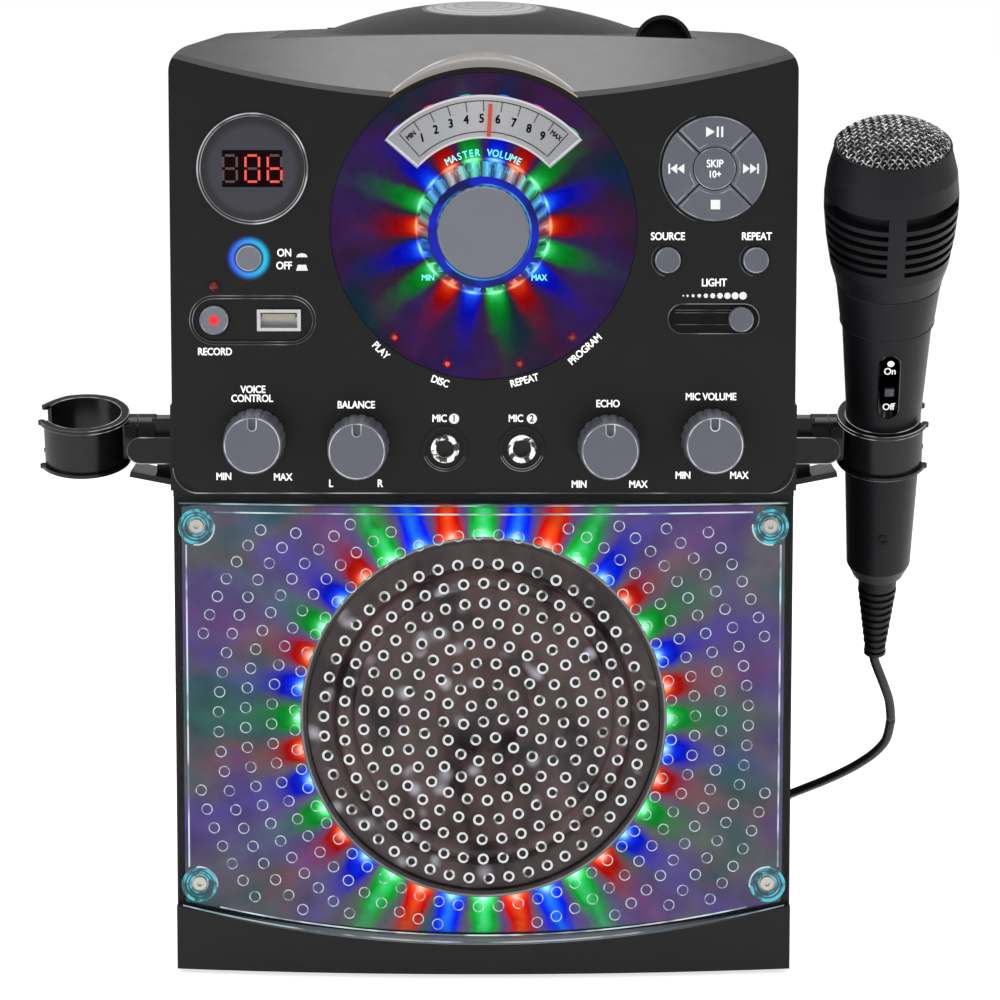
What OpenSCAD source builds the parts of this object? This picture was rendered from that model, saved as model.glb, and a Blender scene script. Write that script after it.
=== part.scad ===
// Karaoke machine: a standing cabinet with a top-loading disc well, a front loudspeaker behind
// a clear cover, two side clips and a corded microphone. X runs to the viewer's right, Y to the back.

/* [Cabinet] */
// Width of the cabinet
body_w = 214; // [210:1:220]
// Depth of the cabinet
body_d = 195; // [190:1:205]
// Height of the deck at its middle
deck_z = 325.5; // [324:0.5:328]
// Height of the rubber feet
foot_h = 1.5; // [1:0.5:3]
// Radius of the rubber feet
foot_r = 7; // [5:0.5:8]
// Wall of the moulded shells
wall = 2.5; // [2:0.1:3]
// Radius of the upper side corners
corner_r = 9; // [6:1:12]
// Radius of the rear corners seen from above
rear_r = 12; // [8:1:16]
// Radius of the crowned deck
crown_r = 1750; // [1500:50:2200]
// Depth at which the front and rear shells meet
split_y = 96; // [90:1:100]
// Radius of the four long screw posts
post_r = 4; // [3.5:0.1:5]

/* [Front panel] */
// Thickness of the front panel
panel_t = 2.5; // [2:0.1:3]
// Height of the panel's lower edge
panel_z = 169; // [168.5:0.5:171]
// Radius of the panel's lower corners
panel_r = 14; // [10:1:18]
// Height of the panel's top edge at the middle
smile_z = 303.7; // [302:0.1:305]
// Radius of the hollow slope above the panel
slope_r = 474; // [440:2:520]
// Angle at which that slope rises to the back
slope_a = 35; // [33:1:38]
// Gap round every button, key and lens
gap = 0.3; // [0.2:0.05:0.4]
// Travel of the buttons and keys
key_travel = 0.7; // [0.4:0.1:0.9]

/* [Dial] */
// Height of the dial's centre
dial_z = 261; // [259:0.5:262]
// Radius of the tinted dial lens
dial_r = 52.3; // [51:0.1:53]
// Width of the rim round the dial lens
dial_rim = 2.4; // [2:0.1:3]
// Thickness of the dial lens
lens_t = 1.8; // [1.5:0.1:2]
// Inner radius of the scale plate
scale_r1 = 30; // [29.5:0.5:32]
// Outer radius of the scale plate
scale_r2 = 44.7; // [44:0.1:46]
// Half the angle of the scale plate
scale_a = 49; // [45:0.5:52]
// Number of lamps round the volume knob
dial_lamps = 18; // [12:6:24]
// Radius of the volume knob's cap
volume_r = 15.3; // [14:0.1:16]
// How far the volume knob stands out of the panel
volume_out = 28; // [24:1:30]
// Outer radius of the knob's clear fluted skirt
skirt_r = 22.4; // [21:0.1:23]
// Radius of the skirt's front
skirt_r1 = 18.6; // [18:0.1:19]

/* [Small knobs and sockets] */
// Sideways place of the outer knobs
knob_x1 = 78.5; // [76:0.5:80]
// Height of the outer knobs
knob_z1 = 188; // [187:0.5:190]
// Sideways place of the inner knobs
knob_x2 = 43; // [41:0.5:45]
// Height of the inner knobs
knob_z2 = 186; // [185:0.5:189]
// Radius of a knob at the panel
knob_r = 10.7; // [10:0.1:11.2]
// Radius of a knob's face
knob_cap_r = 9.7; // [9:0.1:9.9]
// How far a small knob stands out
knob_out = 18; // [15:0.5:19]
// Radius of the potentiometer shafts
shaft_r = 3; // [2.8:0.1:3.2]
// Running clearance of the shafts
shaft_gap = 0.05; // [0.03:0.01:0.08]
// Sideways place of the microphone sockets
jack_x = 13.2; // [12:0.2:15]
// Height of the microphone sockets
jack_z = 184.7; // [184:0.1:186]
// Bore radius of the 6.35 mm microphone sockets
jack_bore = 3.2; // [3.15:0.05:3.3]

/* [Buttons and windows] */
// Sideways place of the display and of the key pad
side_x = 78.7; // [78:0.1:79.5]
// Height of the display and of the key pad
side_z = 280.8; // [279:0.1:282]
// Radius of the display window
window_r = 18.2; // [17.5:0.1:18.6]
// Radius of the key pad
pad_r = 17.9; // [17:0.1:18.2]
// Radius of the pad's middle key
skip_r = 7.2; // [6.5:0.1:7.6]
// Radius of the round buttons
button_r = 4.5; // [4:0.1:5]
// Length of the recess that holds the record button and the USB socket
pill_w = 41; // [39:0.5:42]
// Height of that recess
pill_h = 14.6; // [13.5:0.1:15.2]
// Length of the lamp slider's recess
slot_w = 31; // [29:0.5:32]
// Height of the lamp slider's recess
slot_h = 10; // [9:0.1:10.5]

/* [Lower front] */
// How far the lower front bows forward at the middle
bow = 8; // [7:0.5:9]
// Radius of that bow, seen from above
bow_r = 719; // [650:1:800]
// Top of the clear cover
cover_top = 166.5; // [165:0.5:167]
// Width of the clear cover
cover_w = 211.6; // [208:0.2:212]
// Height of the base strip at the middle
strip_z = 12; // [11:0.5:14]
// Radius of the base strip's hollow top edge
strip_r = 488; // [460:2:520]
// Wall of the clear cover
cover_t = 1.6; // [1.4:0.1:1.8]
// Height by which the cover's middle field is raised
field_t = 0.8; // [0.6:0.1:1]
// Sideways place of the cover screws
screw_x = 98.9; // [98:0.1:99.5]
// Height of the upper and of the lower cover screws
screw_z = [157.9, 32]; // [30:0.5:160]
// Radius of the notch round each cover screw
notch_r = 6.3; // [6:0.1:6.6]
// Plane of the front baffle
baffle_y = 4; // [3.5:0.1:5]

/* [Loudspeaker] */
// Height of the loudspeaker's centre
speaker_z = 91; // [90:0.5:92]
// Outer radius of the lamp ring round the loudspeaker
ring_r = 63.5; // [63:0.1:64]
// Outer radius of the loudspeaker's flange
flange_r = 61; // [60:0.5:61.4]
// Radius of the loudspeaker's opening
speaker_r = 54; // [52:0.5:55]
// Radius of the dust cap
dust_r = 16; // [15:0.5:17]
// Depth of the cone
cone_depth = 20; // [18:1:22]
// Number of lamps round the loudspeaker
speaker_lamps = 36; // [24:6:36]
// Pitch of the rings of holes in front of the loudspeaker
hole_pitch = 6.9; // [6.6:0.1:7.4]
// Number of rings of holes
hole_rings = 8; // [6:1:8]
// Radius of one hole
hole_r = 1.1; // [1:0.1:1.6]

/* [Disc well and lid] */
// Place of the disc's centre from front to back
disc_y = 106; // [105:0.5:107]
// Radius of a disc
disc_r = 60; // [60:0.1:60]
// Room round the disc
disc_room = 3; // [2:0.5:4]
// Half the width of the lid
lid_x = 74; // [73:0.5:75]
// Front edge of the lid
lid_y1 = 34; // [33:0.5:36]
// Rear edge of the lid
lid_y2 = 179.5; // [179:0.5:180]
// Underside of the lid
lid_z = 321; // [320.6:0.1:321.4]
// Radius of the lid's domed middle
dome_r = 161; // [150:1:180]
// Height of the dome's top
dome_z = 336; // [335:0.5:337]
// Radius of the lid's window
lid_window_r = 22.4; // [20:0.1:24]
// Height of the lid's hinge axis
hinge_z = 321.9; // [321.8:0.1:322]
// Place of the lid's hinge axis from front to back
hinge_y = 184; // [184:0.1:184.5]
// Radius of the hinge pins
pin_r = 1.5; // [1.4:0.1:1.6]
// Radius of the hinge knuckles
knuckle_r = 3.2; // [3:0.1:3.3]
// Radius of the hub that carries the disc
hub_r = 13.5; // [12:0.5:14]
// Radius of the spigot that centres the disc
spigot_r = 7.45; // [7.4:0.01:7.48]
// Height at which the disc rests
disc_z = 307.5; // [307:0.1:308]

/* [Laser drive] */
// Module of the rack and of the feed gear
gear_m = 1; // [1:0.1:1]
// Number of teeth on the feed gear
gear_teeth = 12; // [12:1:12]
// Travel of the laser sled
sled_travel = 34; // [30:1:34]
// Backlash on each flank of the rack and the gear
backlash = 0.08; // [0.06:0.01:0.12]
// Half the distance between the two rails
rail_x = 22; // [21:0.5:22]
// Radius of the rails
rail_r = 1.5; // [1.4:0.1:1.6]

/* [Side clips] */
// Distance of the clip rings' middle from the cabinet's side
clip_out = 34.3; // [33:0.1:36]
// Place of the clip rings from front to back
clip_y = 42; // [38:1:46]
// Height of the clip rings
clip_z = 184; // [182:0.5:186]
// Bore radius of the clip rings
clip_bore = 13.4; // [13.2:0.1:13.6]
// Wall of the clip rings
clip_t = 1.6; // [1.4:0.1:2]
// Height of the clip rings
clip_h = 18; // [15:0.5:18]
// Angle of the open mouth
mouth_a = 54; // [48:1:60]
// Lean of the left clip towards the front
lean_left = 18; // [14:1:24]
// Lean of the right clip towards the front
lean_right = 24; // [20:1:26]
// Lean of the microphone towards the cabinet, in its clip
mic_roll = -1.3; // [-2:0.1:0]

/* [Microphone] */
// Radius of the handle where the clip holds it
grip_r = 13.3; // [13:0.1:13.3]
// Largest radius of the microphone's head
head_r = 23; // [22:0.1:23.5]
// Height of the head's rim above the clip
rim_z = 115; // [112:0.5:118]
// Radius of the head's rim
rim_r = 19.8; // [19:0.1:20.5]
// Height of the mesh dome
mesh_h = 7.5; // [6:0.5:8.5]
// Depth of the handle's end below the clip
handle_end = 52; // [50:0.5:60]
// Depth of the boot's end below the clip
boot_end = 92; // [90:0.5:96]
// Number of vent slots on each side
vents = 6; // [5:1:6]

/* [Cord] */
// Diameter of the microphone cord
cord_d = 3.5; // [3.5:0.1:3.5]
// Turns in each layer of the coil
coil_turns = 7; // [5:1:7]
// Layers of the coil
coil_layers = 2; // [2:2:2]
// Pitch of the coil's turns and layers
coil_pitch = 3.95; // [3.95:0.05:4]
// Radius at the middle of the coil's turns
coil_r = 21; // [21:0.1:21.6]

/* [Hidden] */
$fn = 72;
big_fn = 256;
eps = 0.01;
half_w = body_w / 2;
clip_x = half_w + clip_out;
side_z_top = deck_z - pow(half_w - corner_r, 2) / (2 * crown_r);
// The left clip's beads, the microphone's head and the volume knob reach farthest, and centre the part
clip_flange = clip_bore + clip_t + 1.3;
bead_r = 1.3;
bead_x = clip_flange - bead_r + 0.5;
bead_a = mouth_a / 2 - 2;
reach_left = clip_x + bead_x * cos(bead_a) + bead_r;
wide_z = 95.5;
head_lo = wide_z - 4;
reach_right = clip_x + head_r * cos(mic_roll) + head_lo * cos(lean_right) * sin(mic_roll);
origin_x = (reach_right - reach_left) / 2;
reach_front = min(-volume_out, clip_y - rim_z * sin(lean_right) - rim_r * cos(lean_right));
origin_y = (reach_front + body_d) / 2;

// Puts the cabinet's own coordinates into the part's frame
module place() {
    translate([-origin_x, -origin_y, 0]) children();
}

// Extrudes a profile drawn in X and Z from y0 backwards by t
module slab(y0, t) {
    translate([0, y0 + t, 0]) rotate([90, 0, 0]) linear_extrude(t) children();
}

// A round bar along Y
module bar_y(x, z, y0, y1, r) {
    slab(y0, y1 - y0) translate([x, z]) circle(r);
}

// A profile with round ends, lying along X
module stadium(w, h) {
    square([w - h, h], center = true);
    for (s = [-1, 1]) translate([s * (w - h) / 2, 0]) circle(h / 2);
}

module ring_2d(r_out, r_in) {
    difference() {
        circle(r_out);
        circle(r_in);
    }
}

// The crowned deck's outline over the given half width, standing on z0
crown_steps = 12;
function crown_z(x) = deck_z - crown_r + sqrt(crown_r * crown_r - x * x);
module crown_2d(half, z0, inset = 0) {
    polygon(concat(
        [[-half, z0]],
        [for (i = [-crown_steps:crown_steps]) let (x = half * i / crown_steps) [x, crown_z(x) - inset]],
        [[half, z0]]
    ));
}

// The cabinet seen from the front, drawn in by the given inset
module cabinet_outline(inset = 0) {
    w = half_w - inset;
    r = corner_r - inset;
    top = side_z_top - inset;
    base = foot_h + inset;
    translate([-w, base]) square([2 * w, top - r - base]);
    translate([-w + r, base]) square([2 * (w - r), top - base]);
    for (s = [-1, 1]) translate([s * (w - r), top - r]) circle(r);
    crown_2d(w - r, base, inset);
}

// The cabinet seen from above, with round rear corners
module cabinet_plan(inset = 0) {
    w = half_w - inset;
    r = rear_r - inset;
    back = body_d - inset;
    front = -bow - 2;
    translate([-w, front]) square([2 * w, back - r - front]);
    translate([-w + r, front]) square([2 * (w - r), back - front]);
    for (s = [-1, 1]) translate([s * (w - r), back - r]) circle(r);
}

// The hollow slope between the front panel and the deck, as a large tilted cylinder
module slope_tool(extra = 0) {
    translate([0, -slope_r * sin(slope_a), smile_z + slope_r * cos(slope_a)])
        rotate([slope_a - 90, 0, 0])
            cylinder(h = 4 * body_w, r = slope_r + extra, center = true, $fn = big_fn);
}

module cabinet_block(y0, y1, inset = 0) {
    difference() {
        intersection() {
            slab(y0, y1 - y0) cabinet_outline(inset);
            linear_extrude(deck_z + 10) cabinet_plan(inset);
        }
        slope_tool(inset);
    }
}

// Everything in front of the bowed lower face, cut back by the given depth
module bow_block(extra, h) {
    translate([0, bow_r - bow, 0]) cylinder(h = h, r = bow_r + extra, $fn = big_fn);
}

// The opening in the deck that the lid closes, with the notches for its hinge
hinge_x1 = 48;
hinge_x2 = 60;
lug_w = 6;
opening_y2 = 181.5;
module deck_opening() {
    lid_gap = 0.4;
    translate([-lid_x - lid_gap, lid_y1 - lid_gap, lid_z - 14])
        cube([2 * (lid_x + lid_gap), opening_y2 - lid_y1 + lid_gap, 30]);
    for (s = [-1, 1])
        translate([s * (hinge_x1 + hinge_x2 + lug_w) / 2 - (hinge_x2 - hinge_x1 + lug_w + 1) / 2, 170, lid_z - 14])
            cube([hinge_x2 - hinge_x1 + lug_w + 1, hinge_y + knuckle_r + 0.8 - 170, 30]);
}

post_places = [
    for (s = [-1, 1]) for (z = [24, 304]) [s * (half_w - wall - post_r - 0.5), z]
];
screw_r = 1.45;

// Front shell: side walls, baffle, base strip and the slope above the panel
frame_w = 9;
module front_shell() place() color([0.09, 0.09, 0.1]) {
    difference() {
        union() {
            difference() {
                cabinet_block(panel_t, split_y);
                cabinet_block(panel_t + wall, split_y + 1, wall);
                // The open window behind the front panel
                slab(-1, 3 * wall + 2) translate([-half_w + frame_w, panel_z + frame_w])
                    square([body_w - 2 * frame_w, smile_z - panel_z - 2 * frame_w]);
                // The lower front is set back to the baffle's plane
                translate([-body_w, 0, 0]) cube([2 * body_w, baffle_y, panel_z - 1]);
            }
            // The baffle
            slab(baffle_y, wall) translate([-half_w + 1, foot_h + 1])
                square([body_w - 2, panel_z - foot_h]);
            // The base strip with its hollow top edge
            intersection() {
                slab(-bow - 1, bow + 1 + baffle_y + wall) difference() {
                    translate([-half_w, foot_h]) square([body_w, strip_z + 20]);
                    translate([0, strip_z + strip_r]) circle(strip_r, $fn = big_fn);
                }
                bow_block(0, 60);
            }
            // The boss that carries the dial through the slope
            intersection() {
                translate([0, panel_t, dial_z]) rotate([-90 + 8, 0, 0])
                    translate([0, 0, -10]) cylinder(h = 46, r = dial_r + dial_rim);
                slab(panel_t, 40) intersection() {
                    cabinet_outline();
                    translate([-half_w, dial_z]) square([body_w, deck_z - 2 - dial_z]);
                }
            }
            // The long posts for the rear screws
            for (p = post_places) bar_y(p[0], p[1], baffle_y + eps, split_y - gap, post_r);
            // Bosses behind the cover screws
            for (s = [-1, 1]) for (z = screw_z)
                bar_y(s * screw_x, z, baffle_y + wall - eps, 16, 3.6);
        }
        // Room for the key pad, and for the dial's lamps behind its lens
        bar_y(side_x, side_z, -1, panel_t + 2 * wall, pad_r + 1);
        bar_y(0, dial_z, -1, 17, dial_r + gap);
        // The loudspeaker's opening
        bar_y(0, speaker_z, 0, baffle_y + 2 * wall, speaker_r + gap);
        for (p = post_places) bar_y(p[0], p[1], split_y - 16, split_y + 1, screw_r - 0.2);
        for (s = [-1, 1]) for (z = screw_z) bar_y(s * screw_x, z, 0, 15, screw_r);
        deck_opening();
    }
}

// Rear shell: the back half of the cabinet with a recess for the sockets
socket_z = 60;
socket_w = 96;
socket_h = 26;
recess = 6;
vent_n = 9;
module rear_shell() place() color([0.08, 0.08, 0.09]) {
    difference() {
        union() {
            difference() {
                cabinet_block(split_y, body_d);
                cabinet_block(split_y - 1, body_d - wall, wall);
            }
            // The pocket behind the socket plate
            slab(body_d - recess - wall, recess + wall - eps) translate([0, socket_z])
                square([socket_w + 2 * wall, socket_h + 2 * wall], center = true);
            for (p = post_places) bar_y(p[0], p[1], split_y, body_d - wall + eps, post_r);
        }
        slab(body_d - recess, recess + 1) translate([0, socket_z])
            square([socket_w, socket_h], center = true);
        slab(body_d - recess - wall - 1, recess) translate([0, socket_z])
            square([socket_w - 8, socket_h - 8], center = true);
        for (p = post_places) {
            bar_y(p[0], p[1], split_y - 1, split_y + 12, screw_r);
            bar_y(p[0], p[1], split_y + 10, body_d + 1, screw_head_r + 0.2);
        }
        // Vents near the transformer
        slab(body_d - 2 * wall, 3 * wall) for (i = [0:vent_n - 1])
            translate([0, 120 + 9 * i]) stadium(90, 3);
        deck_opening();
    }
}

screw_head_r = 3;
module rear_screws() place() color([0.55, 0.55, 0.57]) {
    for (p = post_places) {
        bar_y(p[0], p[1], split_y - 12, split_y + 10, screw_r - 0.25);
        bar_y(p[0], p[1], split_y + 10, split_y + 12.5, screw_head_r - 0.2);
    }
}

module feet() place() color([0.15, 0.15, 0.15]) {
    inset = 16;
    for (s = [-1, 1]) for (y = [inset, body_d - inset])
        translate([s * (half_w - inset), y, 0]) cylinder(h = foot_h, r = foot_r);
}

// The holes of the front panel, seen from the front
knob_places = [[-knob_x1, knob_z1], [-knob_x2, knob_z2], [knob_x2, knob_z2], [knob_x1, knob_z1]];
bush_r = 4.2;
power_at = [-80.1, 250.3];
record_lamp_at = [-92.1, 240.7];
pill_at = [-79, 229];
record_at = [-92.2, 229];
usb_at = [-70, 229];
source_at = [62.9, 249.6];
repeat_at = [93, 249.6];
slot_at = [78.7, 229.5];
slider_at = [88, 229.5];
slider_r = 4.2;
usb_w = 15;
usb_h = 7.4;
lamp_r = 1.5;
ferrule_r = 4.8;
bezel_w = 0.9;

module panel_holes() {
    translate([0, dial_z]) circle(dial_r + gap / 2);
    for (p = knob_places) translate(p) circle(bush_r + 0.1);
    for (s = [-1, 1]) translate([s * jack_x, jack_z]) circle(ferrule_r + 0.1);
    translate([-side_x, side_z]) circle(window_r + bezel_w + 0.1);
    translate([side_x, side_z]) circle(pad_r + gap);
    translate(power_at) circle(button_r + gap);
    translate(source_at) circle(button_r + gap);
    translate(repeat_at) circle(button_r + gap);
    translate(record_lamp_at) circle(lamp_r + 0.1);
    translate(record_at) circle(button_r + 0.5 + gap);
    translate(usb_at) square([usb_w + 0.2, usb_h + 0.2], center = true);
    translate(slot_at) stadium(slot_w - 4, 2.6);
}

module front_panel() place() color([0.06, 0.06, 0.065]) {
    recess_t = 1;
    difference() {
        union() {
            difference() {
                slab(0, panel_t) intersection() {
                    cabinet_outline();
                    union() {
                        translate([-half_w, panel_z + panel_r]) square([body_w, body_w]);
                        translate([-half_w + panel_r, panel_z]) square([body_w - 2 * panel_r, body_w]);
                        for (s = [-1, 1])
                            translate([s * (half_w - panel_r), panel_z + panel_r]) circle(panel_r);
                    }
                }
                slope_tool();
            }
            bar_y(0, dial_z, 0, panel_t, dial_r + dial_rim);
            // Raised rings round the microphone sockets
            for (s = [-1, 1]) slab(-0.6, 0.6 + eps)
                translate([s * jack_x, jack_z]) ring_2d(7.9, 6.6);
        }
        slab(-1, panel_t + 2) panel_holes();
        slab(-1, 1 + recess_t) translate(pill_at) stadium(pill_w, pill_h);
        slab(-1, 1 + recess_t) translate(slot_at) stadium(slot_w, slot_h);
    }
}

// Dial, from the front: lens, pointer, scale plate, lamps and their board
lens_y = -1;
plate_y = 2.2;
plate_t = 0.8;
board_y = 5;
board_t = 1.4;
bush_y = -3.5;

module dial_lens() place() color([0.2, 0.1, 0.3, 0.6]) {
    difference() {
        bar_y(0, dial_z, lens_y, lens_y + lens_t, dial_r);
        bar_y(0, dial_z, lens_y - 1, lens_y + lens_t + 1, bush_r + 0.3);
        for (p = status_places) bar_y(p[0], p[1], lens_y - 1, lens_y + lens_t + 1, lamp_r + 0.1);
    }
}

module sector_2d(r_out, r_in, half_a) {
    far = 2 * r_out;
    difference() {
        intersection() {
            circle(r_out);
            polygon([[0, 0], [-far * sin(half_a), far * cos(half_a)], [0, far], [far * sin(half_a), far * cos(half_a)]]);
        }
        circle(r_in);
    }
}

module scale_plate() place() color([0.78, 0.78, 0.8]) {
    post_at = 38;
    slab(plate_y, plate_t) translate([0, dial_z]) sector_2d(scale_r2, scale_r1, scale_a);
    for (s = [-1, 1]) bar_y(
        s * post_at * sin(40), dial_z + post_at * cos(40), plate_y + plate_t - eps, board_y, 1.2
    );
}

dial_lamp_r = 22;
module dial_lamp_board() place() color([0.85, 0.85, 0.88]) {
    difference() {
        bar_y(0, dial_z, board_y, board_y + board_t, dial_r - 0.5);
        bar_y(0, dial_z, board_y - 1, board_y + board_t + 1, bush_r + 0.1);
    }
    // A collar carries the lamps, which point outwards
    slab(board_y - 3.4, 3.4 + eps) translate([0, dial_z]) ring_2d(dial_lamp_r - 2.5, dial_lamp_r - 4);
    for (i = [0:dial_lamps - 1]) translate([0, board_y - 1.7, dial_z]) rotate([0, 360 * i / dial_lamps, 0])
        translate([dial_lamp_r - 2.6, 0, 0]) rotate([0, 90, 0]) cylinder(h = 5, r = lamp_r);
}

status_places = [
    for (a = [-128.8, -104.8, -75.2, -51.2]) [48.4 * cos(a), dial_z + 48.4 * sin(a)]
];
module status_lamps() place() color([0.7, 0.05, 0.05]) {
    for (p = concat(status_places, [record_lamp_at])) {
        bar_y(p[0], p[1], lens_y - 0.6, board_y, lamp_r);
        translate([p[0], lens_y - 0.6, p[1]]) rotate([90, 0, 0]) cylinder(h = 0.6, r1 = lamp_r, r2 = lamp_r * 0.6);
    }
    p = record_lamp_at;
    bar_y(p[0], p[1], board_y - eps, control_y, lamp_r);
}

module display_bezel() place() color([0.75, 0.75, 0.78]) {
    slab(-0.8, 2.4) translate([-side_x, side_z]) ring_2d(window_r + bezel_w, window_r - 0.4);
}

module display_lens() place() color([0.15, 0.03, 0.05, 0.7]) {
    bar_y(-side_x, side_z, 0, 1.6, window_r - 0.5);
}

digit_w = 5.4;
digit_h = 10;
digit_t = 1.1;
digit_step = 7.6;
module seven_segment_2d() {
    w = digit_w;
    h = digit_h;
    t = digit_t;
    for (z = [-1, 0, 1]) translate([0, z * (h - t) / 2]) square([w - 2 * t, t], center = true);
    for (x = [-1, 1]) for (z = [-1, 1])
        translate([x * (w - t) / 2, z * (h / 4 - t / 8)]) square([t, h / 2 - 1.4 * t], center = true);
}

module display_module() place() color([0.3, 0.02, 0.02]) {
    difference() {
        slab(2.4, control_y - 2.4) translate([-side_x, side_z]) square([24, 15], center = true);
        slab(2, 0.8) for (i = [-1:1]) translate([-side_x + digit_step * i, side_z]) seven_segment_2d();
    }
}

module usb_socket() place() color([0.78, 0.78, 0.8]) {
    inner_w = 12.6;
    inner_h = 5.2;
    depth = 12;
    difference() {
        slab(-0.4, control_y + 0.4 + 5) translate(usb_at) square([usb_w, usb_h], center = true);
        slab(-1, depth) translate(usb_at) square([inner_w, inner_h], center = true);
    }
    slab(0.4, depth) translate([usb_at[0], usb_at[1] + 1.2]) square([11.2, 1.9], center = true);
}

// One 6.35 mm socket: ferrule, body and blind bore
module mic_sockets() place() color([0.8, 0.8, 0.82]) {
    for (s = [-1, 1]) difference() {
        union() {
            bar_y(s * jack_x, jack_z, -1.5, panel_t + 1, ferrule_r);
            bar_y(s * jack_x, jack_z, panel_t, 27, 6.5);
        }
        bar_y(s * jack_x, jack_z, -2, 24, jack_bore);
    }
}

pot_r = 7.8;
module pot(x, z, back) {
    difference() {
        union() {
            bar_y(x, z, -2.5, panel_t + 1, bush_r);
            bar_y(x, z, panel_t, back, pot_r);
        }
        bar_y(x, z, -3, back - 1.5, shaft_r + shaft_gap);
    }
}

module potentiometers() place() color([0.6, 0.6, 0.62]) {
    for (p = knob_places) pot(p[0], p[1], control_y);
    difference() {
        union() {
            bar_y(0, dial_z, bush_y, board_y + board_t + 1, bush_r);
            bar_y(0, dial_z, board_y + board_t, 17, 12);
        }
        bar_y(0, dial_z, bush_y - 1, 15, shaft_r + shaft_gap);
    }
}

// Circuit board behind the panel, with the switches that the keys press
control_y = 12;
switch_gap = 0.15;
key_back = 5;
module control_board() place() color([0.1, 0.3, 0.15]) {
    edge = half_w - frame_w;
    slab(control_y, 1.6) difference() {
        translate([-edge, panel_z + 12]) square([2 * edge, smile_z - panel_z - 17.7]);
        translate([0, dial_z]) circle(dial_r + dial_rim + 2.5);
        for (s = [-1, 1]) translate([s * jack_x, jack_z]) circle(7.3);
        translate(usb_at) square([usb_w + 0.4, usb_h + 0.4], center = true);
    }
    tops = key_back + key_travel + switch_gap;
    for (p = switch_places) slab(tops, control_y - tops + eps) translate(p) square([4, 4], center = true);
    // The lamp slider's housing
    slab(6.2, control_y - 6.2 + eps) translate(slot_at) square([slot_w, 7], center = true);
    // Four bosses hold the board to the frame behind the panel
    for (s = [-1, 1]) for (z = [200, 262])
        bar_y(s * (edge - 1), z, panel_t + wall + 0.1, control_y + eps, 3);
}

pad_key_r = (skip_r + pad_r) / 2 + 0.3;
switch_places = concat(
    [for (a = [0:90:270]) [side_x + pad_key_r * cos(a), side_z + pad_key_r * sin(a)]],
    [[side_x, side_z], source_at, repeat_at, record_at, power_at]
);

module main_board() place() color([0.1, 0.3, 0.15]) {
    z = 30;
    w = half_w + 3;
    d = body_d - split_y - 29;
    x0 = 27 - half_w;
    y0 = split_y + 14;
    translate([x0, y0, z]) {
        cube([w, d, 1.6]);
        for (x = [4, w - 4]) for (y = [4, d - 4]) translate([x, y, foot_h + wall - z]) cylinder(h = z - foot_h - wall, r = 3);
        translate([10, 10, 1.6]) cube([24, 20, 10]);
        for (i = [0:2]) translate([w - 60 + 14 * i, d / 2, 1.6]) cylinder(h = 18, r = 5);
    }
}

module transformer() place() color([0.45, 0.4, 0.35]) {
    translate([half_w - 71, split_y + 22, foot_h + wall]) {
        cube([44, 30, 38]);
        translate([8, -8, 6]) cube([28, 46, 26]);
        translate([-7, 0, 0]) cube([58, 30, 2]);
    }
}

// Plate with three phono sockets and a two-pin mains inlet
phono_r = 4.15;
phono_x = [-38, -22, -6];
module rear_sockets() place() color([0.2, 0.2, 0.22]) {
    base = body_d - recess;
    difference() {
        union() {
            slab(base - wall - 1.2, 1.2) translate([0, socket_z]) square([socket_w + 2, socket_h], center = true);
            slab(base - wall - eps, wall + eps) translate([0, socket_z]) square([socket_w - 9, socket_h - 9], center = true);
            for (x = phono_x) bar_y(x, socket_z, base - eps, body_d - 0.2, phono_r);
            slab(base - eps, 3) translate([26, socket_z]) stadium(22, 14);
            slab(base - wall - 14, 14) translate([26, socket_z]) square([22, 14], center = true);
        }
        for (x = phono_x) bar_y(x, socket_z, base - 2, body_d + 1, 1.6);
        slab(base - 10, 14) translate([26, socket_z]) stadium(18, 10);
    }
    for (s = [-1, 1]) bar_y(26 + s * 4, socket_z, base - 10.5, base - 1, 1.2);
}

// Clear cover over the lower front
cover_gap = 0.2;
module cover_outline(inset = 0) {
    difference() {
        translate([-cover_w / 2 + inset, 0]) square([cover_w - 2 * inset, cover_top - inset]);
        translate([0, strip_z + strip_r]) difference() {
            translate([-body_w, -strip_r - 60]) square([2 * body_w, strip_r + 60]);
            circle(strip_r - cover_gap - inset, $fn = big_fn);
        }
    }
}

module cover_holes() {
    for (k = [0:hole_rings]) {
        n = k == 0 ? 1 : round(2 * PI * k);
        for (i = [0:n - 1]) rotate(360 * i / n + 7 * k) translate([k * hole_pitch, 0]) circle(hole_r, $fn = 24);
    }
}

module clear_cover() place() color([0.6, 0.6, 0.75, 0.4]) {
    notch_y = 1.5;
    difference() {
        union() {
            difference() {
                intersection() {
                    slab(-bow - 1, baffle_y + bow + 1) cover_outline();
                    bow_block(0, 200);
                }
                intersection() {
                    slab(-bow - 1, baffle_y + bow + 2) cover_outline(cover_t);
                    bow_block(-cover_t, 200);
                }
            }
            // The raised middle field, cut away round the screws
            intersection() {
                slab(-bow - 2, 12) difference() {
                    cover_outline(3.4);
                    for (s = [-1, 1]) for (z = screw_z) translate([s * screw_x, z]) circle(notch_r);
                }
                difference() {
                    bow_block(field_t, 200);
                    bow_block(-eps, 200);
                }
            }
            for (s = [-1, 1]) for (z = screw_z) intersection() {
                bar_y(s * screw_x, z, -bow, baffle_y, notch_r - 1.4);
                bow_block(0, 200);
            }
        }
        for (s = [-1, 1]) for (z = screw_z) {
            bar_y(s * screw_x, z, -bow - 3, notch_y, notch_r - 2.4);
            bar_y(s * screw_x, z, 0, baffle_y + 1, screw_r + 0.1);
        }
        slab(-bow - 3, bow + 4) translate([0, speaker_z]) cover_holes();
    }
}

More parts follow.
